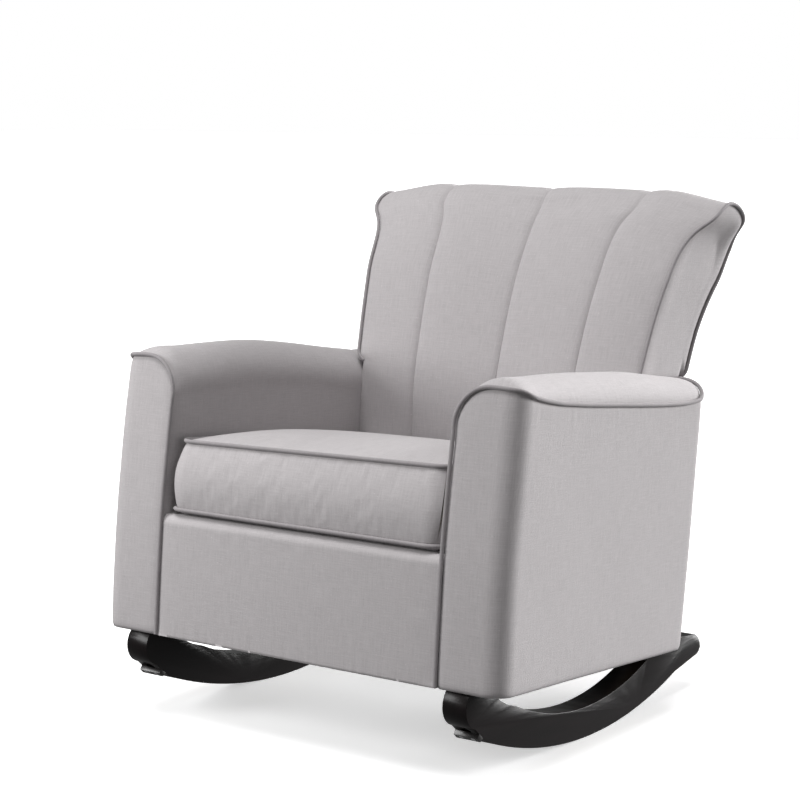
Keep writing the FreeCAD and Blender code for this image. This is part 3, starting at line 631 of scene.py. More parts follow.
@dataclass(frozen=True)
class Linen:
    """Plain-woven grey upholstery cloth with slubs in both thread directions."""

    name: str
    colour: tuple[float, float, float] = (0.50, 0.475, 0.482)
    coordinates: Coordinates = Coordinates.CLOTH
    thread: float = 0.00085
    slub: float = 0.11

    def material(self) -> bpy.types.Material:
        """Build the cloth.

        Returns:
            The material.
        """
        n = Nodes(self.name)
        source = n.add("ShaderNodeTexCoord").outputs[self.coordinates.value]
        base = (*self.colour, 1)
        dark = (*(c * (1 - self.slub) for c in self.colour), 1)
        light = (*(min(c * (1 + self.slub), 1) for c in self.colour), 1)
        warp = n.noise(source, (1 / (2.2 * self.thread), 30, 60), detail=3)
        weft = n.noise(source, (30, 1 / (2.2 * self.thread), 60), detail=3)
        fleck = n.noise(source, (260, 330, 300), detail=2)
        cloud = n.noise(source, (9, 7, 8), detail=3)
        colour = n.blend(n.ramp(warp, 0.34, 0.66), dark, base)
        colour = n.blend(n.math("MULTIPLY", n.ramp(weft, 0.4, 0.7), 0.5), colour, light)
        colour = n.blend(n.math("MULTIPLY", n.ramp(fleck, 0.62, 0.78), 0.55), colour,
                         (*(min(c * 1.35, 1) for c in self.colour), 1))
        speck = n.noise(source, (410, 240, 330), detail=1)
        colour = n.blend(n.math("MULTIPLY", n.ramp(speck, 0.66, 0.8), 0.4), colour,
                         (*(c * 0.62 for c in self.colour), 1))
        worn = n.math("MULTIPLY", n.ramp(cloud, 0.35, 0.7), 0.10)
        colour = n.blend(worn, colour, light)
        sep = n.add("ShaderNodeSeparateXYZ", in_Vector=source)
        k = math.pi / self.thread
        across = n.math("ABSOLUTE", n.math("SINE", n.math("MULTIPLY", sep.outputs[0], k)))
        along = n.math("ABSOLUTE", n.math("SINE", n.math("MULTIPLY", sep.outputs[1], k)))
        weave = n.math("MULTIPLY", across, along)
        threads = n.math("ADD", n.math("MULTIPLY", warp, 1.6), n.math("MULTIPLY", weft, 1.2))
        n.bump(n.math("ADD", weave, threads), 0.00022, 0.7)
        n.set(Base_Color=colour, Roughness=n.math("ADD", 0.86, n.math("MULTIPLY", cloud, 0.08)))
        n.set(Sheen_Weight=0.18, Sheen_Roughness=0.45, Specular_IOR_Level=0.25)
        return n.material


@dataclass(frozen=True)
class Wood:
    """Wood with grain along Y, X or Z, bare or under lacquer."""

    name: str
    colour: tuple[float, float, float]
    dark: tuple[float, float, float]
    roughness: float = 0.6
    coat: float = 0.0
    stretch: tuple[float, float, float] = (90, 5, 60)
    specular: float = 0.5

    def material(self) -> bpy.types.Material:
        """Build the wood.

        Returns:
            The material.
        """
        n = Nodes(self.name)
        source = n.add("ShaderNodeTexCoord").outputs["Object"]
        grain = n.noise(source, self.stretch, size=1.0, detail=6)
        pores = n.noise(source, tuple(4.5 * s for s in self.stretch), size=1.0, detail=3)
        tone = n.noise(source, (4, 2, 4), detail=2)
        colour = n.blend(n.ramp(grain, 0.3, 0.7), (*self.dark, 1), (*self.colour, 1))
        colour = n.blend(n.math("MULTIPLY", n.ramp(pores, 0.55, 0.75), 0.5), colour,
                         (*self.dark, 1))
        n.set(Base_Color=colour)
        rough = n.math("ADD", self.roughness - 0.06, n.math("MULTIPLY", tone, 0.12))
        n.set(Roughness=rough, Coat_Weight=self.coat, Coat_Roughness=0.18,
              Specular_IOR_Level=self.specular)
        n.bump(n.math("ADD", grain, n.math("MULTIPLY", pores, 0.7)), 0.0004,
               0.15 if self.coat else 0.5)
        return n.material


@dataclass(frozen=True)
class Metal:
    """Plated or oiled steel with fine scratches."""

    name: str
    colour: tuple[float, float, float]
    roughness: float = 0.35

    def material(self) -> bpy.types.Material:
        """Build the metal.

        Returns:
            The material.
        """
        n = Nodes(self.name)
        source = n.add("ShaderNodeTexCoord").outputs["Object"]
        haze = n.noise(source, (240, 240, 240), detail=4)
        scratch = n.noise(source, (2600, 160, 900), detail=2)
        tint = (*(c * 0.8 for c in self.colour), 1)
        n.set(Base_Color=n.blend(n.ramp(haze, 0.3, 0.7), tint, (*self.colour, 1)))
        n.set(Metallic=1.0, Roughness=n.math("ADD", self.roughness - 0.1,
                                             n.math("MULTIPLY", haze, 0.2)))
        n.bump(scratch, 0.0001, 0.3)
        return n.material


@dataclass(frozen=True)
class Moulded:
    """Moulded plastic, foam or spun cloth: one colour with a fine surface."""

    name: str
    colour: tuple[float, float, float]
    roughness: float = 0.5
    grain: float = 900.0
    depth: float = 0.0002
    contrast: float = 0.12

    def material(self) -> bpy.types.Material:
        """Build the surface.

        Returns:
            The material.
        """
        n = Nodes(self.name)
        source = n.add("ShaderNodeTexCoord").outputs["Object"]
        fine = n.noise(source, (self.grain,) * 3, detail=3)
        broad = n.noise(source, (30, 30, 30), detail=2)
        dark = (*(c * (1 - self.contrast) for c in self.colour), 1)
        light = (*(min(c * (1 + self.contrast), 1) for c in self.colour), 1)
        colour = n.blend(n.ramp(fine, 0.35, 0.65), dark, light)
        n.set(Base_Color=colour)
        n.set(Roughness=n.math("ADD", self.roughness - 0.05, n.math("MULTIPLY", broad, 0.1)))
        n.bump(fine, self.depth, 0.6)
        return n.material


@dataclass(frozen=True)
class Webbing:
    """Woven strap or tape with ribs along X and a twill across."""

    name: str
    colour: tuple[float, float, float]
    rib: float = 0.002

    def material(self) -> bpy.types.Material:
        """Build the tape.

        Returns:
            The material.
        """
        n = Nodes(self.name)
        source = n.add("ShaderNodeTexCoord").outputs["Object"]
        sep = n.add("ShaderNodeSeparateXYZ", in_Vector=source)
        k = math.tau / self.rib
        ribs = n.math("SINE", n.math("MULTIPLY", sep.outputs[2], k))
        picks = n.math("SINE", n.math("MULTIPLY", sep.outputs[0], 1.7 * k))
        cloth = n.math("MULTIPLY", ribs, picks)
        fuzz = n.noise(source, (700, 700, 700), detail=2)
        dark = (*(c * 0.7 for c in self.colour), 1)
        n.set(Base_Color=n.blend(n.ramp(cloth, -1, 1), dark, (*self.colour, 1)))
        n.set(Roughness=n.math("ADD", 0.8, n.math("MULTIPLY", fuzz, 0.15)))
        n.bump(n.math("ADD", cloth, fuzz), 0.0003, 0.6)
        return n.material


class Finishes:
    """Every finish of the chair, built once."""

    def __init__(self) -> None:
        """Build the materials."""
        self.linen = Linen("linen_cover").material()
        # The piping is the same linen as the cover; its darker colour is painted shade, standing
        # in for the dark crease shadows beside the cords.
        self.piping = Linen("linen_piping_painted_shade", (0.33, 0.31, 0.318), Coordinates.PLACE,
                            0.0009).material()
        espresso = Wood("espresso_lacquer", (0.007, 0.0045, 0.005), (0.003, 0.002, 0.002),
                        0.3, 0.0, (70, 6, 40), 0.22)
        self.espresso = espresso.material()
        self.pine = Wood("bare_hardwood", (0.62, 0.46, 0.29), (0.45, 0.30, 0.17)).material()
        self.ply = Wood("plywood", (0.60, 0.47, 0.32), (0.40, 0.27, 0.16), 0.65, 0.0,
                        (200, 12, 12)).material()
        self.board = Moulded("fibre_board", (0.36, 0.26, 0.17), 0.85, 500, 0.0003, 0.2).material()
        self.foam = Moulded("foam", (0.75, 0.72, 0.62), 0.9, 450, 0.0008, 0.1).material()
        self.plastic = Moulded("stop_plastic", (0.012, 0.010, 0.010), 0.28, 600,
                               0.00005).material()
        self.black = Moulded("spun_cloth", (0.022, 0.022, 0.023), 0.85, 700, 0.0003,
                             0.4).material()
        self.spring = Metal("spring_wire", (0.32, 0.32, 0.33), 0.4).material()
        self.zinc = Metal("zinc_plate", (0.60, 0.60, 0.61), 0.35).material()
        self.slider = Metal("zip_metal", (0.42, 0.42, 0.43), 0.3).material()
        self.strap = Webbing("elastic_strap", (0.06, 0.06, 0.065), 0.003).material()
        self.tape = Webbing("zip_cloth", (0.30, 0.285, 0.29), 0.0012).material()


def paint(obj: bpy.types.Object, material: bpy.types.Material) -> None:
    """Give a piece its only material."""
    obj.data.materials.clear()
    obj.data.materials.append(material)


def fit(obj: bpy.types.Object, body: str, slot: str, *nodes: str) -> bpy.types.Object:
    """Attach a finished piece to its body and hide the CAD nodes it stands for.

    Args:
        obj: The piece, at the origin.
        body: Body it rides on.
        slot: The record's material slot; not used.
        *nodes: CAD nodes it stands for.

    Returns:
        The piece.
    """
    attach(obj, body)
    if nodes:
        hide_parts(*nodes)
    LOG.info("piece %s on %s", obj.name, body)
    return obj


# --- geometry node trees ------------------------------------------------------------------------
class GeometryTree:
    """A Geometry Nodes tree with named inputs, ending in Realize Instances and Set Material."""

    def __init__(self, name: str) -> None:
        """Start the tree.

        Args:
            name: Tree name.
        """
        self.tree = bpy.data.node_groups.new(name, "GeometryNodeTree")
        face = self.tree.interface
        face.new_socket("Geometry", in_out="INPUT", socket_type="NodeSocketGeometry")
        face.new_socket("Geometry", in_out="OUTPUT", socket_type="NodeSocketGeometry")
        self.source = self.tree.nodes.new("NodeGroupInput")
        self.target = self.tree.nodes.new("NodeGroupOutput")
        self.names: dict[str, str] = {}

    def size(self, name: str, kind: str = "NodeSocketFloat") -> bpy.types.NodeSocket:
        """Add a named input.

        Args:
            name: Input name.
            kind: Socket type.

        Returns:
            The socket to link from.
        """
        item = self.tree.interface.new_socket(name, in_out="INPUT", socket_type=kind)
        self.names[name] = item.identifier
        return self.source.outputs[name]

    def add(self, kind: str, **values: object) -> bpy.types.Node:
        """Add a node; keys that start with "in_" are inputs, others attributes."""
        node = self.tree.nodes.new(kind)
        for key, value in values.items():
            if not key.startswith("in_"):
                setattr(node, key, value)
        for key, value in values.items():
            if key.startswith("in_"):
                socket = node.inputs[key[3:].replace("_", " ")]
                if isinstance(value, bpy.types.NodeSocket):
                    self.tree.links.new(value, socket)
                else:
                    socket.default_value = value
        return node

    def close(self, geometry: bpy.types.NodeSocket) -> None:
        """End the tree.

        Args:
            geometry: The geometry to hand out.
        """
        material = self.size("Material", "NodeSocketMaterial")
        real = self.add("GeometryNodeRealizeInstances", in_Geometry=geometry)
        dressed = self.add("GeometryNodeSetMaterial", in_Geometry=real.outputs[0],
                           in_Material=material)
        self.tree.links.new(dressed.outputs[0], self.target.inputs[0])

    def run(self, name: str, path: np.ndarray, closed: bool = False,
            **values: object) -> bpy.types.Object:
        """Run the tree on a line and keep the plain mesh.

        Args:
            name: Name of the new piece.
            path: Points of the line in the row frame.
            closed: Whether the line closes on itself.
            **values: The tree's named inputs, with underscores for spaces.

        Returns:
            The new piece.
        """
        last = len(path) - 1
        edges = [(i, i + 1) for i in range(last)] + ([(last, 0)] if closed else [])
        mesh = bpy.data.meshes.new(name + "_path")
        mesh.from_pydata([tuple(p) for p in path], edges, [])
        obj = bpy.data.objects.new(name, mesh)
        bpy.context.scene.collection.objects.link(obj)
        modifier = obj.modifiers.new("nodes", "NODES")
        modifier.node_group = self.tree
        for key, value in values.items():
            modifier[self.names[key.replace("_", " ")]] = value
        settle(obj)
        for polygon in obj.data.polygons:
            polygon.use_smooth = True
        return obj


def cord_tree() -> GeometryTree:
    """A round cord that follows a line.

    Returns:
        Tree with inputs Radius, Step and Sides.
    """
    g = GeometryTree("cord")
    radius, step = g.size("Radius"), g.size("Step")
    sides = g.size("Sides", "NodeSocketInt")
    line = g.add("GeometryNodeMeshToCurve", in_Mesh=g.source.outputs["Geometry"])
    even = g.add("GeometryNodeResampleCurve", mode="LENGTH", in_Curve=line.outputs[0],
                 in_Length=step)
    ring = g.add("GeometryNodeCurvePrimitiveCircle", in_Resolution=sides, in_Radius=radius)
    body = g.add("GeometryNodeCurveToMesh", in_Curve=even.outputs[0],
                 in_Profile_Curve=ring.outputs[0], in_Fill_Caps=True)
    g.close(body.outputs[0])
    return g


def row_tree() -> GeometryTree:
    """Small rounded bars set along a line and turned to follow it: staples, stitches, teeth.

    Returns:
        Tree with inputs Spacing, Size and Turn.
    """
    g = GeometryTree("row_of_bars")
    spacing, size = g.size("Spacing"), g.size("Size", "NodeSocketVector")
    turn = g.size("Turn", "NodeSocketVector")
    line = g.add("GeometryNodeMeshToCurve", in_Mesh=g.source.outputs["Geometry"])
    points = g.add("GeometryNodeCurveToPoints", mode="LENGTH", in_Curve=line.outputs[0],
                   in_Length=spacing)
    ball = g.add("GeometryNodeMeshUVSphere", in_Segments=8, in_Rings=5, in_Radius=0.5)
    bar = g.add("GeometryNodeTransform", in_Geometry=ball.outputs[0], in_Scale=size)
    heading = g.add("FunctionNodeAlignRotationToVector", axis="X",
                    in_Vector=points.outputs["Tangent"])
    spun = g.add("FunctionNodeRotateRotation", rotation_space="LOCAL",
                 in_Rotation=heading.outputs[0])
    euler = g.add("FunctionNodeEulerToRotation", in_Euler=turn)
    g.tree.links.new(euler.outputs[0], spun.inputs["Rotate By"])
    put = g.add("GeometryNodeInstanceOnPoints", in_Points=points.outputs["Points"],
                in_Instance=bar.outputs[0], in_Rotation=spun.outputs[0])
    g.close(put.outputs[0])
    return g


# --- arms ---------------------------------------------------------------------------------------
@dataclass
class Lean:
    """How the padded front and rear faces lean, in millimetres."""

    face: tuple = ((-40, 0), (0, 0), (110, 1.0), (210, 4.2), (300, 11.3), (380, 19.4), (459, 28),
                   (540, 37))
    top_height: float = 459.0
    depth: float = 586.0
    rake: float = 33.0
    rake_height: float = 422.0

    def front(self, z: np.ndarray) -> np.ndarray:
        """Y of the front face at a height."""
        return table(z, self.face)

    def rear(self, z: np.ndarray) -> np.ndarray:
        """Y of the rear face at a height."""
        return self.depth + self.rake * z / self.rake_height


@dataclass
class Arm:
    """A padded arm: one cover over the frame and a piping along its front and outer top edge."""

    side: Side
    lean: Lean
    corner: float = 34.0
    crest: float = 52.0
    shoulder: float = 72.0
    upright_count: int = 88
    top_count: int = 28
    length_count: int = 118
    corner_count: int = 11
    wall: float = 19.0
    deck_front: float = 24.0
    deck_rear: float = 534.0
    deck_height: float = 164.0
    piping_radius: float = 3.4
    crown_line: tuple = ((0, 461), (28, 463), (48, 472.5), (100, 474.5), (191, 476), (282, 475.5),
                         (410, 471.5), (511, 463.5), (617, 454), (640, 451))
    edge_line: tuple = ((0, 459.5), (28, 458), (46, 454.5), (71, 449), (129, 440), (188, 435),
                        (250, 431.5), (312, 428.6), (410, 424), (478, 421.5), (548, 421),
                        (590, 424), (640, 427))
    extra_crown: float = 0.0
    crown_at: float = 260.0
    crown_reach: float = 150.0

    def __post_init__(self) -> None:
        """Read the arm's width from the frame."""
        low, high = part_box(f"arm_padding_{self.side.suffix}")
        sign = self.side.value
        self.inner = min(low.x * sign, high.x * sign) / MM
        self.outer = max(low.x * sign, high.x * sign) / MM

    def ring(self, y: float, outer: float) -> np.ndarray:
        """Section across the arm from the inner foot over the crown to the outer foot.

        Args:
            y: Distance behind the body's front, at the arm's top.
            outer: X of the outer side in this section.

        Returns:
            Points (x, z).
        """
        crown = float(table(np.array([y]), self.crown_line)[0])
        crown += self.extra_crown * math.exp(-(((y - self.crown_at) / self.crown_reach) ** 2))
        edge = float(table(np.array([y]), self.edge_line)[0])
        i, crest = self.inner, self.inner + self.crest
        rise = arc((i, crown - self.shoulder), (i + 13, crown - 22), (crest, crown), 61)
        fall = arc((crest, crown), (self.outer - 22, edge + 0.72 * (crown - edge)),
                   (self.outer, edge), 61)
        reach = np.linspace(crest, outer, 50)
        fall = np.stack([reach, np.interp(reach, fall[:, 0], fall[:, 1])], -1)
        inner = np.concatenate([[(i, 0.0)], rise[:31]])
        top = np.concatenate([rise[30:], fall[1:]])
        down = np.stack([np.full(2, outer), [fall[-1, 1], 0.0]], -1)
        a = spaced(inner, self.upright_count)
        b = spaced(top, self.top_count)
        c = spaced(down, self.upright_count)
        return np.concatenate([a, b[1:], c[1:]])

    def stations(self) -> list[tuple[float, float, float]]:
        """Stations from front to rear: share of the length, offset behind the front or ahead of
        the rear, and the drop of the outer side at the rounded corners.

        Returns:
            One (share, offset, drop) for each ring; offset is from the front for share 0, from
            the rear for share 1.
        """
        swing = np.linspace(0, math.pi / 2, self.corner_count)
        rounded = [(self.corner * (1 - math.cos(s)), self.corner * (1 - math.sin(s)))
                   for s in swing]
        front = [(0.0, run, drop) for run, drop in rounded]
        middle = [(float(t), 0.0, 0.0) for t in np.linspace(0, 1, self.length_count)[1:-1]]
        rear = [(1.0, run, drop) for run, drop in reversed(rounded)]
        return front + middle + rear

    def surface(self) -> tuple[np.ndarray, list[int]]:
        """Rings of the cover.

        Returns:
            Points (stations, ring, 3) and the ring indices of the two top edges.
        """
        rings = []
        height = self.lean.top_height
        first = float(self.lean.front(np.array([height]))[0])
        last = float(self.lean.rear(np.array([height - 30]))[0])
        for share, offset, drop in self.stations():
            y_front, y_rear = first + self.corner, last - self.corner
            if share == 0.0:
                y = first + offset
            elif share == 1.0:
                y = last - offset
            else:
                y = y_front + share * (y_rear - y_front)
            section = self.ring(y, self.outer - drop)
            z = section[:, 1]
            front, rear = self.lean.front(z), self.lean.rear(z)
            if share == 0.0:
                depth = front + offset
            elif share == 1.0:
                depth = rear - offset
            else:
                depth = (1 - share) * (front + self.corner) + share * (rear - self.corner)
            rings.append(np.stack([section[:, 0] * self.side.value, depth, z], -1))
        a = self.upright_count - 1
        return np.array(rings), [a, a + self.top_count - 1]

    def cover(self) -> tuple[bpy.types.Object, list[SeamLine]]:
        """Build the cover.

        Returns:
            The cover in body millimetres and its seams.
        """
        rings, (a, b) = self.surface()
        shell = Shell(f"arm_cover_{self.side.suffix}")
        flip = self.side is Side.LEFT
        run_top = np.array([lengths(r[:b + 1]) for r in rings])
        uv_top = np.stack([run_top, rings[:, :b + 1, 1]], -1)
        shell.grid(rings[:, :b + 1], uv_top, flip)
        mid = rings[:, b + self.upright_count // 2]
        around = np.abs(mid[0, 0]) + lengths(mid)
        uv_side = np.stack([np.repeat(around[:, None], rings.shape[1] - b, 1),
                            rings[:, b:, 2]], -1)
        shell.grid(rings[:, b:], uv_side, flip)
        for k, turn in ((0, True), (-1, False)):
            ring = rings[k]
            left, top, right = ring[:a + 1], ring[a:b + 1], ring[b:][::-1]
            bottom = np.linspace(ring[0], ring[-1], self.top_count)
            cap = coons(bottom, top, left, right)
            for row in cap:
                lift = self.lean.front(row[:, 2]) if k == 0 else self.lean.rear(row[:, 2])
                row[:, 1] = lift
            across = np.abs(cap[..., 0])
            if k == -1:
                across = around[-1] + np.abs(ring[-1, 0]) - across
            shell.grid(cap, np.stack([across, cap[..., 2]], -1), turn != flip)
        obj = shell.build()
        seams = [SeamLine(rings[0, :b + 1]), SeamLine(rings[:, b]),
                 SeamLine(rings[-1, a:b + 1][::-1])]
        return obj, seams

    def build(self, finishes: Finishes, cord: GeometryTree) -> None:
        """Build and attach the cover and its piping.

        Args:
            finishes: The chair's finishes.
            cord: The tree that makes a cord.
        """
        obj, seams = self.cover()
        route = self.piping_route(obj, seams)
        Upholstery().dress(obj, seams, 1.0 + self.side.value)
        p = coords(obj)
        hem = np.exp(-np.clip(p[:, 2], 0, None) / 4.0)
        inward = np.stack([p[:, 0] - self.side.value * (self.inner + self.outer) / 2,
                           (p[:, 1] - 293) * 0.2, 0 * p[:, 2]], -1)
        inward /= np.maximum(np.linalg.norm(inward, axis=1), 1e-6)[:, None]
        set_coords(obj, p - inward * (2.5 * hem)[:, None])
        self.open_at_deck(obj)
        wall(obj, self.wall)
        to_row(obj)
        paint(obj, finishes.linen)
        fit(obj, "chair", "linen", f"arm_padding_{self.side.suffix}")
        piping = cord.run(f"arm_cord_{self.side.suffix}", BODY.place(route),
                          Radius=self.piping_radius * MM, Step=CORD_STEP, Sides=CORD_SIDES,
                          Material=finishes.piping)
        fit(piping, "chair", "linen", f"arm_piping_{self.side.suffix}")

    def piping_route(self, obj: bpy.types.Object, seams: Sequence[SeamLine]) -> np.ndarray:
        """Line of the piping: up the inner front edge, across, back along the top and round.

        Args:
            obj: The undressed cover.
            seams: Its seams.

        Returns:
            Points in body millimetres.
        """
        line = np.concatenate([seams[0].points, seams[1].points[1:], seams[2].points[1:]])
        keep = ~((np.arange(len(line)) > len(line) * 0.7)
                 & (np.abs(line[:, 0]) < self.inner + 30))
        line = line[keep]
        tree = KDTree(len(obj.data.vertices))
        for v in obj.data.vertices:
            tree.insert(v.co, v.index)
        tree.balance()
        out = normals(obj)
        offset = np.array([out[tree.find(Vector(p))[1]] for p in line])
        for _ in range(6):
            offset[1:-1] = (offset[:-2] + offset[1:-1] + offset[2:]) / 3
        line = line + 0.9 * offset
        line[:, 2] = np.maximum(line[:, 2], 1.5)
        for _ in range(10):
            line[1:-1] = (line[:-2] + 2 * line[1:-1] + line[2:]) / 4
        return line

    def open_at_deck(self, obj: bpy.types.Object) -> None:
        """Leave out the inner padding under the deck, where the seat frame joins the arm.

        Args:
            obj: The cover, in body millimetres, before it has a wall.
        """
        bm = bmesh.new()
        bm.from_mesh(obj.data)
        hidden = []
        for face in bm.faces:
            c = face.calc_center_median()
            if (abs(c.x) < self.inner + 4 and self.deck_front < c.y < self.deck_rear
                    and c.z < self.deck_height):
                hidden.append(face)
        bmesh.ops.delete(bm, geom=hidden, context="FACES")
        bm.to_mesh(obj.data)
        bm.free()


# --- back ---------------------------------------------------------------------------------------
@dataclass
class Back:
    """The winged back: channelled inside, rolled top, boxed sides, plain outside panel."""

    front_line: tuple = ((548, 175), (549, 300), (553, 430), (566, 490), (585, 560), (606, 620),
                         (640, 690), (672, 738), (700, 764))
    roll_line: tuple = ((700, 764), (724, 775), (752, 773), (785, 754), (808, 723), (816, 690))
    rear_line: tuple = ((816, 690), (800, 640), (767, 585), (745, 541), (720, 449), (660, 249),
                        (586, 0))
    width_line: tuple = ((294, 0), (294, 250), (299, 452), (303, 500), (315, 607), (337, 718),
                         (364, 752), (366, 790))
    foot_half: float = 283.5
    nominal_half: float = 300.0
    ledge: float = 449.0
    seams_at: tuple = (-0.565, 0.0, 0.565)
    hollow: float = 15.0
    channel_puff: float = 5.0
    seam_depth: float = 4.5
    groove_width: float = 5.0
    tip_drop: float = 17.0
    tip_start: float = 0.62
    drop_from: float = 600.0
    drop_over: float = 165.0
    inside_fade: tuple = (55.0, 60.0)
    hollow_fade: tuple = (40.0, 90.0)
    rolled_fade: tuple = (60.0, 90.0)
    rolled_share: float = 0.45
    foot_fade: tuple = (6.0, 60.0)
    face_count: int = 150
    roll_count: int = 36
    wall: float = 24.0
    piping_radius: float = 3.2

    def half_width(self, z: np.ndarray) -> np.ndarray:
        """Half of the back's width at a height."""
        wide = self.spread(z)
        return self.foot_half + (wide - self.foot_half) * ease((z - self.ledge + 4) / 8)

    def spread(self, z: np.ndarray) -> np.ndarray:
        """Half-width that the channels follow, without the step beside the arms."""
        return table(z, [(zz, x) for x, zz in self.width_line])

    def drop(self, z: np.ndarray) -> np.ndarray:
        """How far the sides hang below the middle at a height."""
        return self.tip_drop * ease((z - self.drop_from) / self.drop_over)

    def columns(self) -> np.ndarray:
        """Shares across the back, closer together beside each seam and side.

        Returns:
            Sorted shares from -1 to 1.
        """
        stops = (-1.0, *self.seams_at, 1.0)
        near = np.array([0, 1.2, 2.6, 4.5, 7, 10, 14]) / self.nominal_half
        free = 19 / self.nominal_half
        shares = []
        for a, b in zip(stops, stops[1:]):
            inner = np.linspace(a + free, b - free, 22)
            shares += [*(a + near), *inner, *(b - near[::-1])]
        return np.unique(np.round(shares, 6))

    def thickness(self, p: np.ndarray) -> np.ndarray:
        """Part of the full padding depth at each point: thin at the rear and sides."""
        line = smooth_through(self.rear_line)[::-1]
        rear = np.interp(p[:, 2], line[:, 1], line[:, 0])
        behind = ease(1 - (rear - p[:, 1]) / 14)
        beside = ease(1 - (self.half_width(p[:, 2]) - np.abs(p[:, 0])) / 6)
        return np.clip(1 - 0.62 * behind - 0.45 * beside, 0.36, 1)

    def outline(self) -> np.ndarray:
        """Side outline from the front foot over the roll to the rear foot, as (y, z)."""
        front = spaced(smooth_through(self.front_line), self.face_count)
        roll = spaced(smooth_through(self.roll_line), self.roll_count)
        rear = spaced(smooth_through(self.rear_line), self.face_count)
        return np.concatenate([front, roll[1:], rear[1:]])

    def build(self, finishes: Finishes, cord: GeometryTree) -> None:
        """Build and attach the cover and the pipings.

        Args:
            finishes: The chair's finishes.
            cord: The tree that makes a cord.
        """
        line = self.outline()
        shares = self.columns()
        step = np.gradient(line, axis=0)
        step /= np.linalg.norm(step, axis=1)[:, None]
        outward = np.stack([-step[:, 1], step[:, 0]], -1)
        run = lengths(line)
        f, r = self.face_count - 1, self.face_count + self.roll_count - 2
        inside = 1 - ease((run - run[r] + self.inside_fade[0]) / self.inside_fade[1])
        hollow_part = 1 - ease((run - run[f] + self.hollow_fade[0]) / self.hollow_fade[1])
        width = self.half_width(line[:, 1])

        channel = self.spread(line[:, 1])
        side = ease((np.abs(shares) - 0.72) / 0.28)[:, None]
        x = shares[:, None] * (channel[None] * (1 - side) + width[None] * side)
        stops = np.array([-1.0, *self.seams_at, 1.0])
        cell = np.clip(np.searchsorted(stops, shares, "right") - 1, 0, len(stops) - 2)
        u = (shares - stops[cell]) / (stops[cell + 1] - stops[cell])
        dome = 1 - np.abs(2 * u - 1) ** 2.4
        gap = np.min(np.abs(shares[:, None] - np.array(self.seams_at)[None]), axis=1)
        gap *= self.nominal_half
        groove = -self.seam_depth * np.exp(-((gap / self.groove_width) ** 1.2))
        dish = -self.hollow * (1 - ease(np.abs(shares) / self.tip_start))
        fade = ease((run - run[f] + self.rolled_fade[0]) / self.rolled_fade[1])
        rolled = 1 - self.rolled_share * fade
        lift = ((self.channel_puff * dome + groove)[:, None] * (inside * rolled)[None]
                + dish[:, None] * hollow_part[None])
        foot_fade = ease((run - self.foot_fade[0]) / self.foot_fade[1])
        lift = lift * foot_fade[None]
        y = line[None, :, 0] + outward[None, :, 0] * lift
        z = line[None, :, 1] + outward[None, :, 1] * lift
        outer = ease((np.abs(shares) - self.tip_start) / (1 - self.tip_start))
        z -= outer[:, None] * self.drop(line[:, 1])[None]
        grid = np.stack([x, y, z], -1)

        shell = Shell("back_cover")
        uv = np.stack([shares[:, None] * self.nominal_half + 0 * x,
                       np.repeat(run[None], len(shares), 0)], -1)
        shell.grid(grid, uv, True)
        sides = []
        for k, turn in ((0, True), (-1, False)):
            ring = grid[k]
            front, roll, rear = ring[:f + 1], ring[f:r + 1], ring[r:][::-1]
            bottom = np.linspace(ring[0], ring[-1], self.roll_count)
            cap = coons(bottom, roll, front, rear)
            rows = np.linspace(0, 1, cap.shape[0])[:, None]
            cols = np.linspace(0, 1, cap.shape[1])[None]
            middle = np.sin(np.pi * cols) * np.minimum(1, (1 - rows) * 8)
            level = cap[..., 2]
            for _ in range(5):
                level = cap[..., 2] + self.drop(level)
            drawn = np.sign(ring[0, 0]) * self.half_width(level)
            cap[..., 0] += (drawn - cap[..., 0]) * np.clip(middle * 1.5, 0, 1)
            shell.grid(cap, cap[..., 1:], turn)
            sides.append(ring)
        obj = shell.build()
        top = int(np.argmax(line[:, 1] > self.ledge))
        low = len(line) - 1 - int(np.argmax(line[::-1, 1] > self.ledge))
        edges = [SeamLine(s[top:low + 1]) for s in sides]
        stitched = [SeamLine(grid[int(np.argmin(np.abs(shares - s))), 40:r + 1])
                    for s in self.seams_at]
        rear_top = SeamLine(grid[:, r])
        Upholstery(pucker=0.35, unevenness=1.0, puff=1.2).dress(obj, edges, 3.0)
        Upholstery(pull=0.0, puff=0.0, pucker=0.4, pucker_wave=19, pucker_reach=16,
                   unevenness=0.0).dress(obj, stitched, 5.0)
        Upholstery(pull=1.6, pull_width=5, puff=0.0, pucker=0.3, unevenness=0.0).dress(
            obj, [rear_top], 6.0)
        wall(obj, self.wall, lambda p: np.minimum(
            self.thickness(p), (2.0 + 0.6 * seam_field(edges, p)[0]) / self.wall))
        to_row(obj)
        paint(obj, finishes.linen)
        fit(obj, "chair", "linen", "back_padding", "back_outside_panel", "back_side_panel_left",
            "back_side_panel_right")
        for side, ring in zip((Side.LEFT, Side.RIGHT), sides):
            route = ring[top - 2:low + 2].copy()
            for _ in range(4):
                route[1:-1] = (route[:-2] + 2 * route[1:-1] + route[2:]) / 4
            piping = cord.run(f"back_cord_{side.suffix}", BODY.place(route),
                              Radius=self.piping_radius * MM, Step=CORD_STEP, Sides=CORD_SIDES,
                              Material=finishes.piping)
            fit(piping, "chair", "linen", f"back_piping_{side.suffix}")


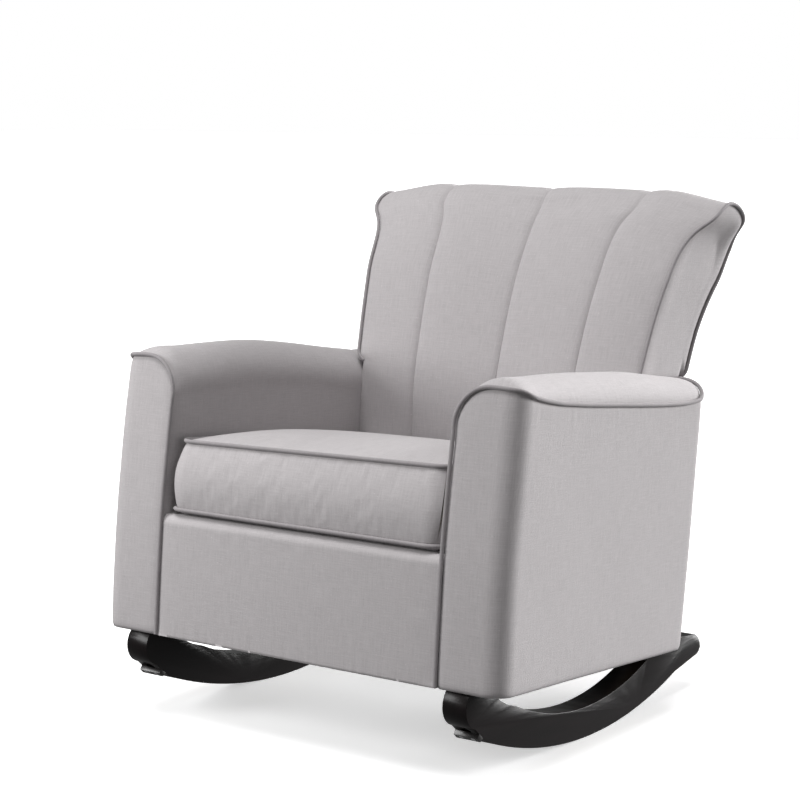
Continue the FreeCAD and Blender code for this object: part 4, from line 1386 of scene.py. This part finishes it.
# --- seat ---------------------------------------------------------------------------------------
def perimeter(half: float, front: float, rear: float, corner: float, across: int,
              along: int) -> list[np.ndarray]:
    """Four edges of a rounded rectangle in plan, each from corner middle to corner middle.

    Args:
        half: Half of the width.
        front: Y of the front edge.
        rear: Y of the rear edge.
        corner: Corner radius.
        across: Points on the front and rear edges.
        along: Points on the sides.

    Returns:
        Front, right, rear and left edges; front and rear run to +X, the sides rearwards.
    """
    swing = np.linspace(0, math.pi / 4, 12)

    def bend(cx: float, cy: float, start: float) -> np.ndarray:
        return np.stack([cx + corner * np.cos(start + swing), cy + corner * np.sin(start + swing)],
                        -1)

    q = math.pi / 4
    xr, yf, yr = half - corner, front + corner, rear - corner
    f = np.concatenate([bend(-xr, yf, 5 * q), bend(xr, yf, 6 * q)])
    right = np.concatenate([bend(xr, yf, 7 * q), bend(xr, yr, 0)])
    rear_edge = np.concatenate([bend(xr, yr, q), bend(-xr, yr, 2 * q)])[::-1]
    left = np.concatenate([bend(-xr, yr, 3 * q), bend(-xr, yf, 4 * q)])[::-1]
    return [spaced(f, across), spaced(right, along), spaced(rear_edge, across),
            spaced(left, along)]


@dataclass
class Cushion:
    """The loose boxed cushion: cover, two pipings, and the zip at the rear."""

    low: float = 214.0
    high: float = 331.0
    base: float = 204.9
    crown: float = 20.0
    rear_drop: float = 26.0
    front_low: float = 9.0
    front_high: float = 29.0
    corner: float = 30.0
    bulge: float = 8.0
    across: int = 121
    along: int = 109
    box_count: int = 27
    piping_radius: float = 3.4

    rear: float = 538.0
    skin: float = 3.4
    rise: float = 5.0
    flat_edge: float = 22.0
    drop_from: float = 60.0
    foam_gap: float = 4.5
    zip_height: float = 272.0
    zip_depth: float = 2.7
    zip_end: float = 7.0

    def __post_init__(self) -> None:
        """Read the cushion's width from the frame."""
        _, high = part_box("cushion_core")
        self.half = high.x / MM + self.skin

    def seam(self, low: bool) -> list[np.ndarray]:
        """Edges of the lower or upper seam as body points."""
        front, z = (self.front_low, self.low) if low else (self.front_high, self.high)
        edges = perimeter(self.half, front, self.rear, self.corner, self.across, self.along)
        out = []
        for e in edges:
            height = np.full(len(e), z)
            if not low:
                height = height + self.rise * e[:, 0] / self.half
                back = (e[:, 1] - self.drop_from) / (self.rear - self.drop_from)
                height -= self.rear_drop * ease(back)
            out.append(np.column_stack([e, height]))
        return out

    def form(self, name: str, lower: list[np.ndarray],
             upper: list[np.ndarray]) -> bpy.types.Object:
        """The cushion's closed form between its two seams.

        Args:
            name: Name of the piece.
            lower: Edges of the lower seam.
            upper: Edges of the upper seam.

        Returns:
            The form in body millimetres.
        """
        shell = Shell(name)
        top = coons(upper[0], upper[2], upper[3], upper[1])
        u = np.linspace(-1, 1, top.shape[1])[None]
        v = np.linspace(-1, 1, top.shape[0])[:, None]
        depth = (v + 1) / 2
        dome = (1 - np.abs(u) ** 5) * (1 - (1 - depth) ** 6) * (1 - depth ** 3)
        top[..., 2] += self.crown * dome
        shell.grid(top, top[..., :2])
        bottom = coons(lower[0], lower[2], lower[3], lower[1])
        flat = np.minimum((1 - np.abs(u)) * self.half, (1 - np.abs(v)) * self.rear / 2)
        bottom[..., 2] -= (self.low - self.base) * ease(flat / self.flat_edge)
        shell.grid(bottom, bottom[..., :2], True)
        start = 0.0
        for k, turn in ((0, False), (1, False), (2, True), (3, True)):
            t = np.linspace(0, 1, self.box_count)[:, None, None]
            strip = (1 - t) * lower[k][None] + t * upper[k][None]
            plan = np.gradient(lower[k][:, :2], axis=0)
            plan /= np.linalg.norm(plan, axis=1)[:, None]
            out = np.stack([plan[:, 1], -plan[:, 0], 0 * plan[:, 0]], -1)
            out *= -1.0 if turn else 1.0
            fullness = 0.0 if k == 2 else self.bulge
            strip = strip + fullness * np.sin(np.pi * t) * out[None]
            run = lengths(lower[k]) + start
            uv = np.stack([np.repeat(run[None], self.box_count, 0), strip[..., 2]], -1)
            shell.grid(strip, uv, turn)
            start = run[-1]
        return shell.build()

    def build(self, finishes: Finishes, cord: GeometryTree, bars: GeometryTree) -> None:
        """Build and attach the foam, cover, pipings and zip.

        Args:
            finishes: The chair's finishes.
            cord: The tree that makes a cord.
            bars: The tree that sets bars along a line.
        """
        lower, upper = self.seam(True), self.seam(False)
        obj = self.form("cushion_casing", lower, upper)
        loops = []
        for edges in (lower, upper):
            loops.append(np.concatenate([edges[0], edges[1][1:], edges[2][::-1][1:],
                                         edges[3][::-1][1:]]))
        seams = [SeamLine(loop) for loop in loops]
        Upholstery(pull=2.2, puff=1.0, pucker=0.5, pucker_wave=17, pucker_reach=20,
                   unevenness=1.0).dress(obj, seams, 9.0,
                                         lambda p: np.where((p[:, 2] < self.low - 4)
                                                            | (p[:, 1] > self.rear - 3),
                                                            0.15, 1.0))
        p = coords(obj)
        d, _ = seam_field(seams, p)
        held = np.where(d < 2.2, 1.0, 0.0)
        held[(p[:, 2] < self.low - 3) | (p[:, 1] > self.rear - 4)] = 1.0
        to_row(obj)
        inflate(obj, held, 2.2, 0.004, 0.007)
        paint(obj, finishes.linen)
        fit(obj, "seat_cushion", "linen", "cushion_cover")
        for name, loop in zip(("bottom", "top"), loops):
            middle = np.array([0, (self.front_low + self.rear) / 2, 0])
            out = (loop - middle) * [1, 1, 0]
            out /= np.abs(out).max(axis=1)[:, None]
            line = loop[:-1] + out[:-1] * 1.0
            piping = cord.run(f"cushion_cord_{name}", BODY.place(line), True,
                              Radius=self.piping_radius * MM, Step=CORD_STEP, Sides=CORD_SIDES,
                              Material=finishes.piping)
            fit(piping, "seat_cushion", "linen", f"cushion_{name}_piping")
        self.zip(finishes, bars)
        foam = self.form("cushion_foam", [e[::3] for e in lower], [e[::3] for e in upper])
        set_coords(foam, coords(foam) - self.foam_gap * normals(foam))
        to_row(foam)
        paint(foam, finishes.foam)
        fit(foam, "seat_cushion", "foam", "cushion_core")

    def zip(self, finishes: Finishes, bars: GeometryTree) -> None:
        """Build the zip's teeth on its tape.

        Args:
            finishes: The chair's finishes.
            bars: The tree that sets bars along a line.
        """
        _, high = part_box("zip_tape")
        reach = high.x / MM - self.zip_end
        line = np.linspace((-reach, self.rear + self.zip_depth, self.zip_height),
                           (reach, self.rear + self.zip_depth, self.zip_height), 40)
        teeth = bars.run("zip_teeth", BODY.place(line), Spacing=0.0016,
                         Size=(0.0009, 0.0007, 0.0044), Turn=(0, 0, 0), Material=finishes.tape)
        fit(teeth, "seat_cushion", "zip_tape")


@dataclass
class Apron:
    """The padded front below the cushion, rolled over the front rail to the deck."""

    bend: float = 185.0
    top: float = 204.0
    lip: float = 61.0
    deck_bottom: float = 168.0
    thickness: float = 23.5
    count: int = 150

    def build(self, finishes: Finishes, lean: Lean) -> None:
        """Build and attach the apron.

        Args:
            finishes: The chair's finishes.
            lean: How the front face leans.
        """
        _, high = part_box("front_apron")
        half = high.x / MM
        face_z = np.linspace(0, self.bend, 46)
        face = np.stack([lean.front(face_z), face_z], -1)
        roll = arc(face[-1], (8, self.top - 5), (21, self.top), 9)
        over = np.linspace((21, self.top), (self.lip, self.top), 9)
        behind = np.array([(self.lip, self.top), (self.lip, self.deck_bottom),
                           (self.thickness, self.deck_bottom), (self.thickness, 0), face[0]])
        back = np.concatenate([np.linspace(a, b, 7)[:-1] for a, b in zip(behind, behind[1:])])
        ring = np.concatenate([face, roll[1:], over[1:], back[1:], face[:1]])
        near = np.array([0, 1.5, 3.5, 6.5, 11, 17])
        x = np.concatenate([-half + near, np.linspace(-half + 24, half - 24, self.count),
                            half - near[::-1]])
        grid = np.zeros((len(x), len(ring), 3))
        grid[..., 0] = x[:, None]
        grid[..., 1:] = ring[None]
        edge = np.minimum(half - np.abs(x), 60)
        puff = 3.0 * (1 - np.exp(-edge / 14)) - 2.6
        shown = np.zeros(len(ring))
        visible = len(face) + len(roll) + len(over) - 2
        shown[:visible] = 1
        hem = 1 - 0.8 * np.exp(-ring[:, 1] / 7)
        step = np.gradient(ring, axis=0)
        step /= np.maximum(np.linalg.norm(step, axis=1), 1e-6)[:, None]
        outward = np.stack([-step[:, 1], step[:, 0]], -1)
        lift = puff[:, None] * (shown * hem)[None]
        gather = 0.5 * ripple(x, 23, 2.0)[:, None] * np.exp(-np.abs(ring[:, 1] - 2) / 26)[None]
        gather = gather + 0.45 * ripple(x, 61, 4.0)[:, None] * np.exp(
            -np.abs(ring[:, 1] - 178) / 26)[None]
        lift = lift + gather * shown[None]
        grid[..., 1] += outward[None, :, 0] * lift
        grid[..., 2] += np.maximum(outward[None, :, 1] * lift, -1.0)
        shell = Shell("apron_cover")
        run = lengths(ring)
        uv = np.stack([np.repeat(x[:, None], len(ring), 1), np.repeat(run[None], len(x), 0)], -1)
        shell.grid(grid, uv, True)
        obj = shell.build()
        bm = bmesh.new()
        bm.from_mesh(obj.data)
        open_edges = [e for e in bm.edges if e.is_boundary]
        bmesh.ops.holes_fill(bm, edges=open_edges)
        bmesh.ops.recalc_face_normals(bm, faces=bm.faces)
        bm.to_mesh(obj.data)
        bm.free()
        to_row(obj)
        paint(obj, finishes.linen)
        fit(obj, "chair", "linen", "front_apron")


@dataclass
class Deck:
    """The sprung deck's pad under the cushion, and the black cloth under the chair."""

    count: int = 60
    half: float = 283.0
    pad_front: float = 62.0
    pad_rear: float = 545.5
    pad_low: float = 168.5
    pad_high: float = 204.0
    cloth_front: float = 26.5
    cloth_rear: float = 574.5
    cloth_sag: float = 2.5
    staple_inset: float = 7.0

    def build(self, finishes: Finishes, bars: GeometryTree) -> None:
        """Build and attach the deck pad, the dust cover and its staples.

        Args:
            finishes: The chair's finishes.
            bars: The tree that sets bars along a line.
        """
        self.pad(finishes)
        self.dust_cover(finishes, bars)

    def pad(self, finishes: Finishes) -> None:
        """Build the pad: flat foam with softened upper edges under plain cloth.

        Args:
            finishes: The chair's finishes.
        """
        half, front, rear = self.half, self.pad_front, self.pad_rear
        low, high = self.pad_low, self.pad_high
        shell = Shell("deck_pad")
        edges = perimeter(half, front, rear, 8.0, self.count, self.count)
        levels = [(0.0, low), (0.0, (low + high) / 2), (0.6, high - 4), (2.5, high - 1.2),
                  (5.5, high - 0.3)]
        centre = np.array([0, (front + rear) / 2])
        loops = []
        for shrink, z in levels:
            ratio = 1 - shrink / 240
            loops.append([np.column_stack([centre + (e - centre) * ratio, np.full(len(e), z)])
                          for e in edges])
        for k, turn in ((0, False), (1, False), (2, True), (3, True)):
            strip = np.array([loop[k] for loop in loops])
            shell.grid(strip, strip[..., [0, 2]] if k % 2 == 0 else strip[..., 1:], turn)
        top = coons(loops[-1][0], loops[-1][2], loops[-1][3], loops[-1][1])
        shell.grid(top, top[..., :2])
        base = coons(loops[0][0], loops[0][2], loops[0][3], loops[0][1])
        shell.grid(base, base[..., :2], True)
        obj = to_row(shell.build())
        paint(obj, finishes.linen)
        fit(obj, "chair", "linen", "seat_deck")

    def dust_cover(self, finishes: Finishes, bars: GeometryTree) -> None:
        """Build the dust cover, sagging a little between its staples.

        Args:
            finishes: The chair's finishes.
            bars: The tree that sets bars along a line.
        """
        half, front, rear = self.half, self.cloth_front, self.cloth_rear
        x = np.linspace(-half, half, self.count)
        y = np.linspace(front, rear, self.count)
        gx, gy = np.meshgrid(x, y)
        middle, reach = (front + rear) / 2, (rear - front) / 2
        sag = self.cloth_sag * (1 - (gx / half) ** 2) * (1 - ((gy - middle) / reach) ** 2)
        edge = np.minimum(half - np.abs(gx), np.minimum(gy - front, rear - gy))
        sag += 0.5 * np.sin(gx / 9.0) * np.sin(gy / 9.0) * np.exp(-edge / 18)
        grid = np.stack([gx, gy, 0.9 - sag], -1)
        shell = Shell("dust_cloth")
        shell.grid(grid, grid[..., :2], True)
        obj = to_row(shell.build())
        solid = obj.modifiers.new("cloth", "SOLIDIFY")
        solid.thickness = 0.0006
        settle(obj)
        paint(obj, finishes.black)
        fit(obj, "chair", "black_cloth", "dust_cover")
        inset = self.staple_inset
        corners = np.array([(-half + inset, front + inset), (half - inset, front + inset),
                            (half - inset, rear - inset), (-half + inset, rear - inset)])
        line = np.concatenate([np.linspace(a, b, 30)[:-1]
                               for a, b in zip(corners, np.roll(corners, -1, 0))])
        line = np.column_stack([line, np.full(len(line), -0.1)])
        staples = bars.run("dust_cloth_staples", BODY.place(line), True, Spacing=0.034,
                           Size=(0.010, 0.0012, 0.0009), Turn=(0, 0, 0.35),
                           Material=finishes.zinc)
        fit(staples, "chair", "zinc_steel")


# --- rockers ------------------------------------------------------------------------------------
@dataclass
class Rocker:
    """A sawn wooden rocker with eased edges, and the moulded stop at its front."""

    side: Side
    board_edge: float = 0.0024
    stop_edge: float = 0.0012

    def eased_copy(self, node: str, name: str, width: float) -> bpy.types.Object:
        """A copy of a CAD node with its faces merged and its edges eased.

        Args:
            node: The CAD node.
            name: Name of the copy.
            width: Width of the bevel.

        Returns:
            The copy.
        """
        bm = bmesh.new()
        bm.from_mesh(frame["nodes"][node].data)
        bmesh.ops.remove_doubles(bm, verts=bm.verts, dist=2e-5)
        bmesh.ops.dissolve_limit(bm, angle_limit=math.radians(1.5), verts=bm.verts,
                                 edges=bm.edges, delimit=set())
        mesh = bpy.data.meshes.new(name)
        bm.to_mesh(mesh)
        bm.free()
        obj = bpy.data.objects.new(name, mesh)
        bpy.context.scene.collection.objects.link(obj)
        bevel = obj.modifiers.new("eased", "BEVEL")
        bevel.width = width
        bevel.segments = 3
        bevel.limit_method = "ANGLE"
        bevel.angle_limit = math.radians(35)
        bevel.use_clamp_overlap = True
        bevel.harden_normals = True
        bevel.miter_outer = "MITER_ARC"
        mesh.shade_smooth()
        settle(obj)
        return obj

    def build(self, finishes: Finishes) -> None:
        """Build and attach the rocker and its stop.

        Args:
            finishes: The chair's finishes.
        """
        rocker = self.eased_copy(f"rocker_{self.side.suffix}", f"rocker_board_{self.side.suffix}",
                                 self.board_edge)
        paint(rocker, finishes.espresso)
        fit(rocker, "chair", "espresso_wood", f"rocker_{self.side.suffix}")
        stop = self.eased_copy(f"rocker_stop_{self.side.suffix}",
                               f"front_stop_{self.side.suffix}", self.stop_edge)
        paint(stop, finishes.plastic)
        fit(stop, "chair", "stop_plastic", f"rocker_stop_{self.side.suffix}")


# --- carried-over pieces ------------------------------------------------------------------------
def dress_frame(finishes: Finishes) -> None:
    """Give every CAD node that stays its finish.

    Args:
        finishes: The chair's finishes.
    """
    by_slot = {"frame_wood": finishes.pine, "fibre_board": finishes.board,
               "foam": finishes.foam, "spring_steel": finishes.spring,
               "zinc_steel": finishes.zinc, "webbing": finishes.strap,
               "zip_metal": finishes.slider, "zip_tape": finishes.tape,
               "espresso_wood": finishes.espresso, "stop_plastic": finishes.plastic,
               "black_cloth": finishes.black, "linen": finishes.linen}
    for part in frame["record"]["subparts"]:
        obj = frame["nodes"].get(part["node"])
        if obj is None:
            continue
        material = by_slot[part["material_slot"]]
        if part["node"].startswith("back_side_frame"):
            material = finishes.ply
        paint(obj, material)


# --- stage --------------------------------------------------------------------------------------
@dataclass
class Stage:
    """Pale floor, soft light from both sides, and the camera."""

    sight: tuple = (2.1157, -3.0762, 1.0495)
    heading: float = 35.834
    dip: float = 8.046
    lens: float = 98.07
    shift: tuple = (0.009, -0.0006)
    floor_glow: float = 0.5
    sky: float = 0.215

    def build(self) -> None:
        """Build the stage."""
        scene = bpy.context.scene
        mesh = bpy.data.meshes.new("floor")
        size = 40.0
        mesh.from_pydata([(-size, -size, 0), (size, -size, 0), (size, size, 0),
                          (-size, size, 0)], [], [(0, 1, 2, 3)])
        floor = bpy.data.objects.new("floor", mesh)
        scene.collection.objects.link(floor)
        n = Nodes("pale_floor")
        n.set(Base_Color=(0.9, 0.9, 0.9, 1), Roughness=0.9, Specular_IOR_Level=0.1)
        n.set(Emission_Color=(1, 1, 1, 1), Emission_Strength=self.floor_glow)
        floor.data.materials.append(n.material)
        floor.visible_diffuse = floor.visible_glossy = False

        world = bpy.data.worlds.new("studio")
        world.use_nodes = True
        nodes, links = world.node_tree.nodes, world.node_tree.links
        sky = nodes["Background"]
        sky.inputs[0].default_value = (1, 1, 1, 1)
        sky.inputs[1].default_value = self.sky
        paper = nodes.new("ShaderNodeBackground")
        paper.inputs[0].default_value = (1, 1, 1, 1)
        path = nodes.new("ShaderNodeLightPath")
        either = nodes.new("ShaderNodeMixShader")
        links.new(path.outputs["Is Camera Ray"], either.inputs[0])
        links.new(sky.outputs[0], either.inputs[1])
        links.new(paper.outputs[0], either.inputs[2])
        links.new(either.outputs[0], nodes["World Output"].inputs[0])
        scene.world = world
        self.sun("right_rear", (148, 8), 5.4, 30)
        self.sun("overhead", (-8, 80), 2.3, 36)
        self.panel("left_front", (-38, 18), 2.4, 0.9, 30)

        camera = bpy.data.cameras.new("camera")
        camera.lens = self.lens
        camera.sensor_width = 36
        camera.shift_x, camera.shift_y = self.shift
        eye = bpy.data.objects.new("camera", camera)
        eye.location = self.sight
        eye.rotation_euler = (math.radians(90 - self.dip), 0, math.radians(self.heading))
        scene.collection.objects.link(eye)
        scene.camera = eye
        scene.view_settings.view_transform = "Standard"

    def sun(self, name: str, place: tuple[float, float], strength: float, spread: float) -> None:
        """Add a broad distant light.

        Args:
            name: Its name.
            place: Where it stands, as degrees round from the front towards +X, and height.
            strength: Its strength.
            spread: Its angular size in degrees.
        """
        lamp = bpy.data.lights.new(name, "SUN")
        lamp.energy = strength
        lamp.angle = math.radians(spread)
        self.set_lamp(lamp, place, 0.0)

    def panel(self, name: str, place: tuple[float, float], distance: float, size: float,
              power: float) -> None:
        """Add a square soft light that faces the chair.

        Args:
            name: Its name.
            place: Where it stands, as degrees round from the front towards +X, and height.
            distance: Distance from the chair's middle in metres.
            size: Side of the square in metres.
            power: Power in watts.
        """
        lamp = bpy.data.lights.new(name, "AREA")
        lamp.energy = power
        lamp.size = size
        self.set_lamp(lamp, place, distance)

    def set_lamp(self, lamp: bpy.types.Light, place: tuple[float, float],
                 distance: float) -> None:
        """Stand a lamp away from the chair's middle and turn it to face the chair.

        Args:
            lamp: The lamp.
            place: Degrees round from the front towards +X, and height in degrees.
            distance: Distance from the chair's middle in metres.
        """
        obj = bpy.data.objects.new(lamp.name, lamp)
        turn, height = (math.radians(a) for a in place)
        towards = Vector((math.sin(turn) * math.cos(height), -math.cos(turn) * math.cos(height),
                          math.sin(height)))
        middle = (Vector(CAD_BOX[0]) + Vector(CAD_BOX[1])) / 2
        obj.location = middle + towards * distance
        obj.rotation_euler = towards.to_track_quat("Z", "Y").to_euler()
        bpy.context.scene.collection.objects.link(obj)


def main() -> None:
    """Build the chair's looks around the frame."""
    finishes = Finishes()
    cord, bars = cord_tree(), row_tree()
    lean = Lean()
    dress_frame(finishes)
    Arm(Side.LEFT, lean, extra_crown=7.0).build(finishes, cord)
    Arm(Side.RIGHT, lean).build(finishes, cord)
    Back().build(finishes, cord)
    Cushion().build(finishes, cord, bars)
    Apron().build(finishes, lean)
    Deck().build(finishes, bars)
    for side in Side:
        Rocker(side).build(finishes)
    Stage().build()


if __name__ == "__main__":
    logging.basicConfig(level=logging.INFO, format="%(message)s")
    main()
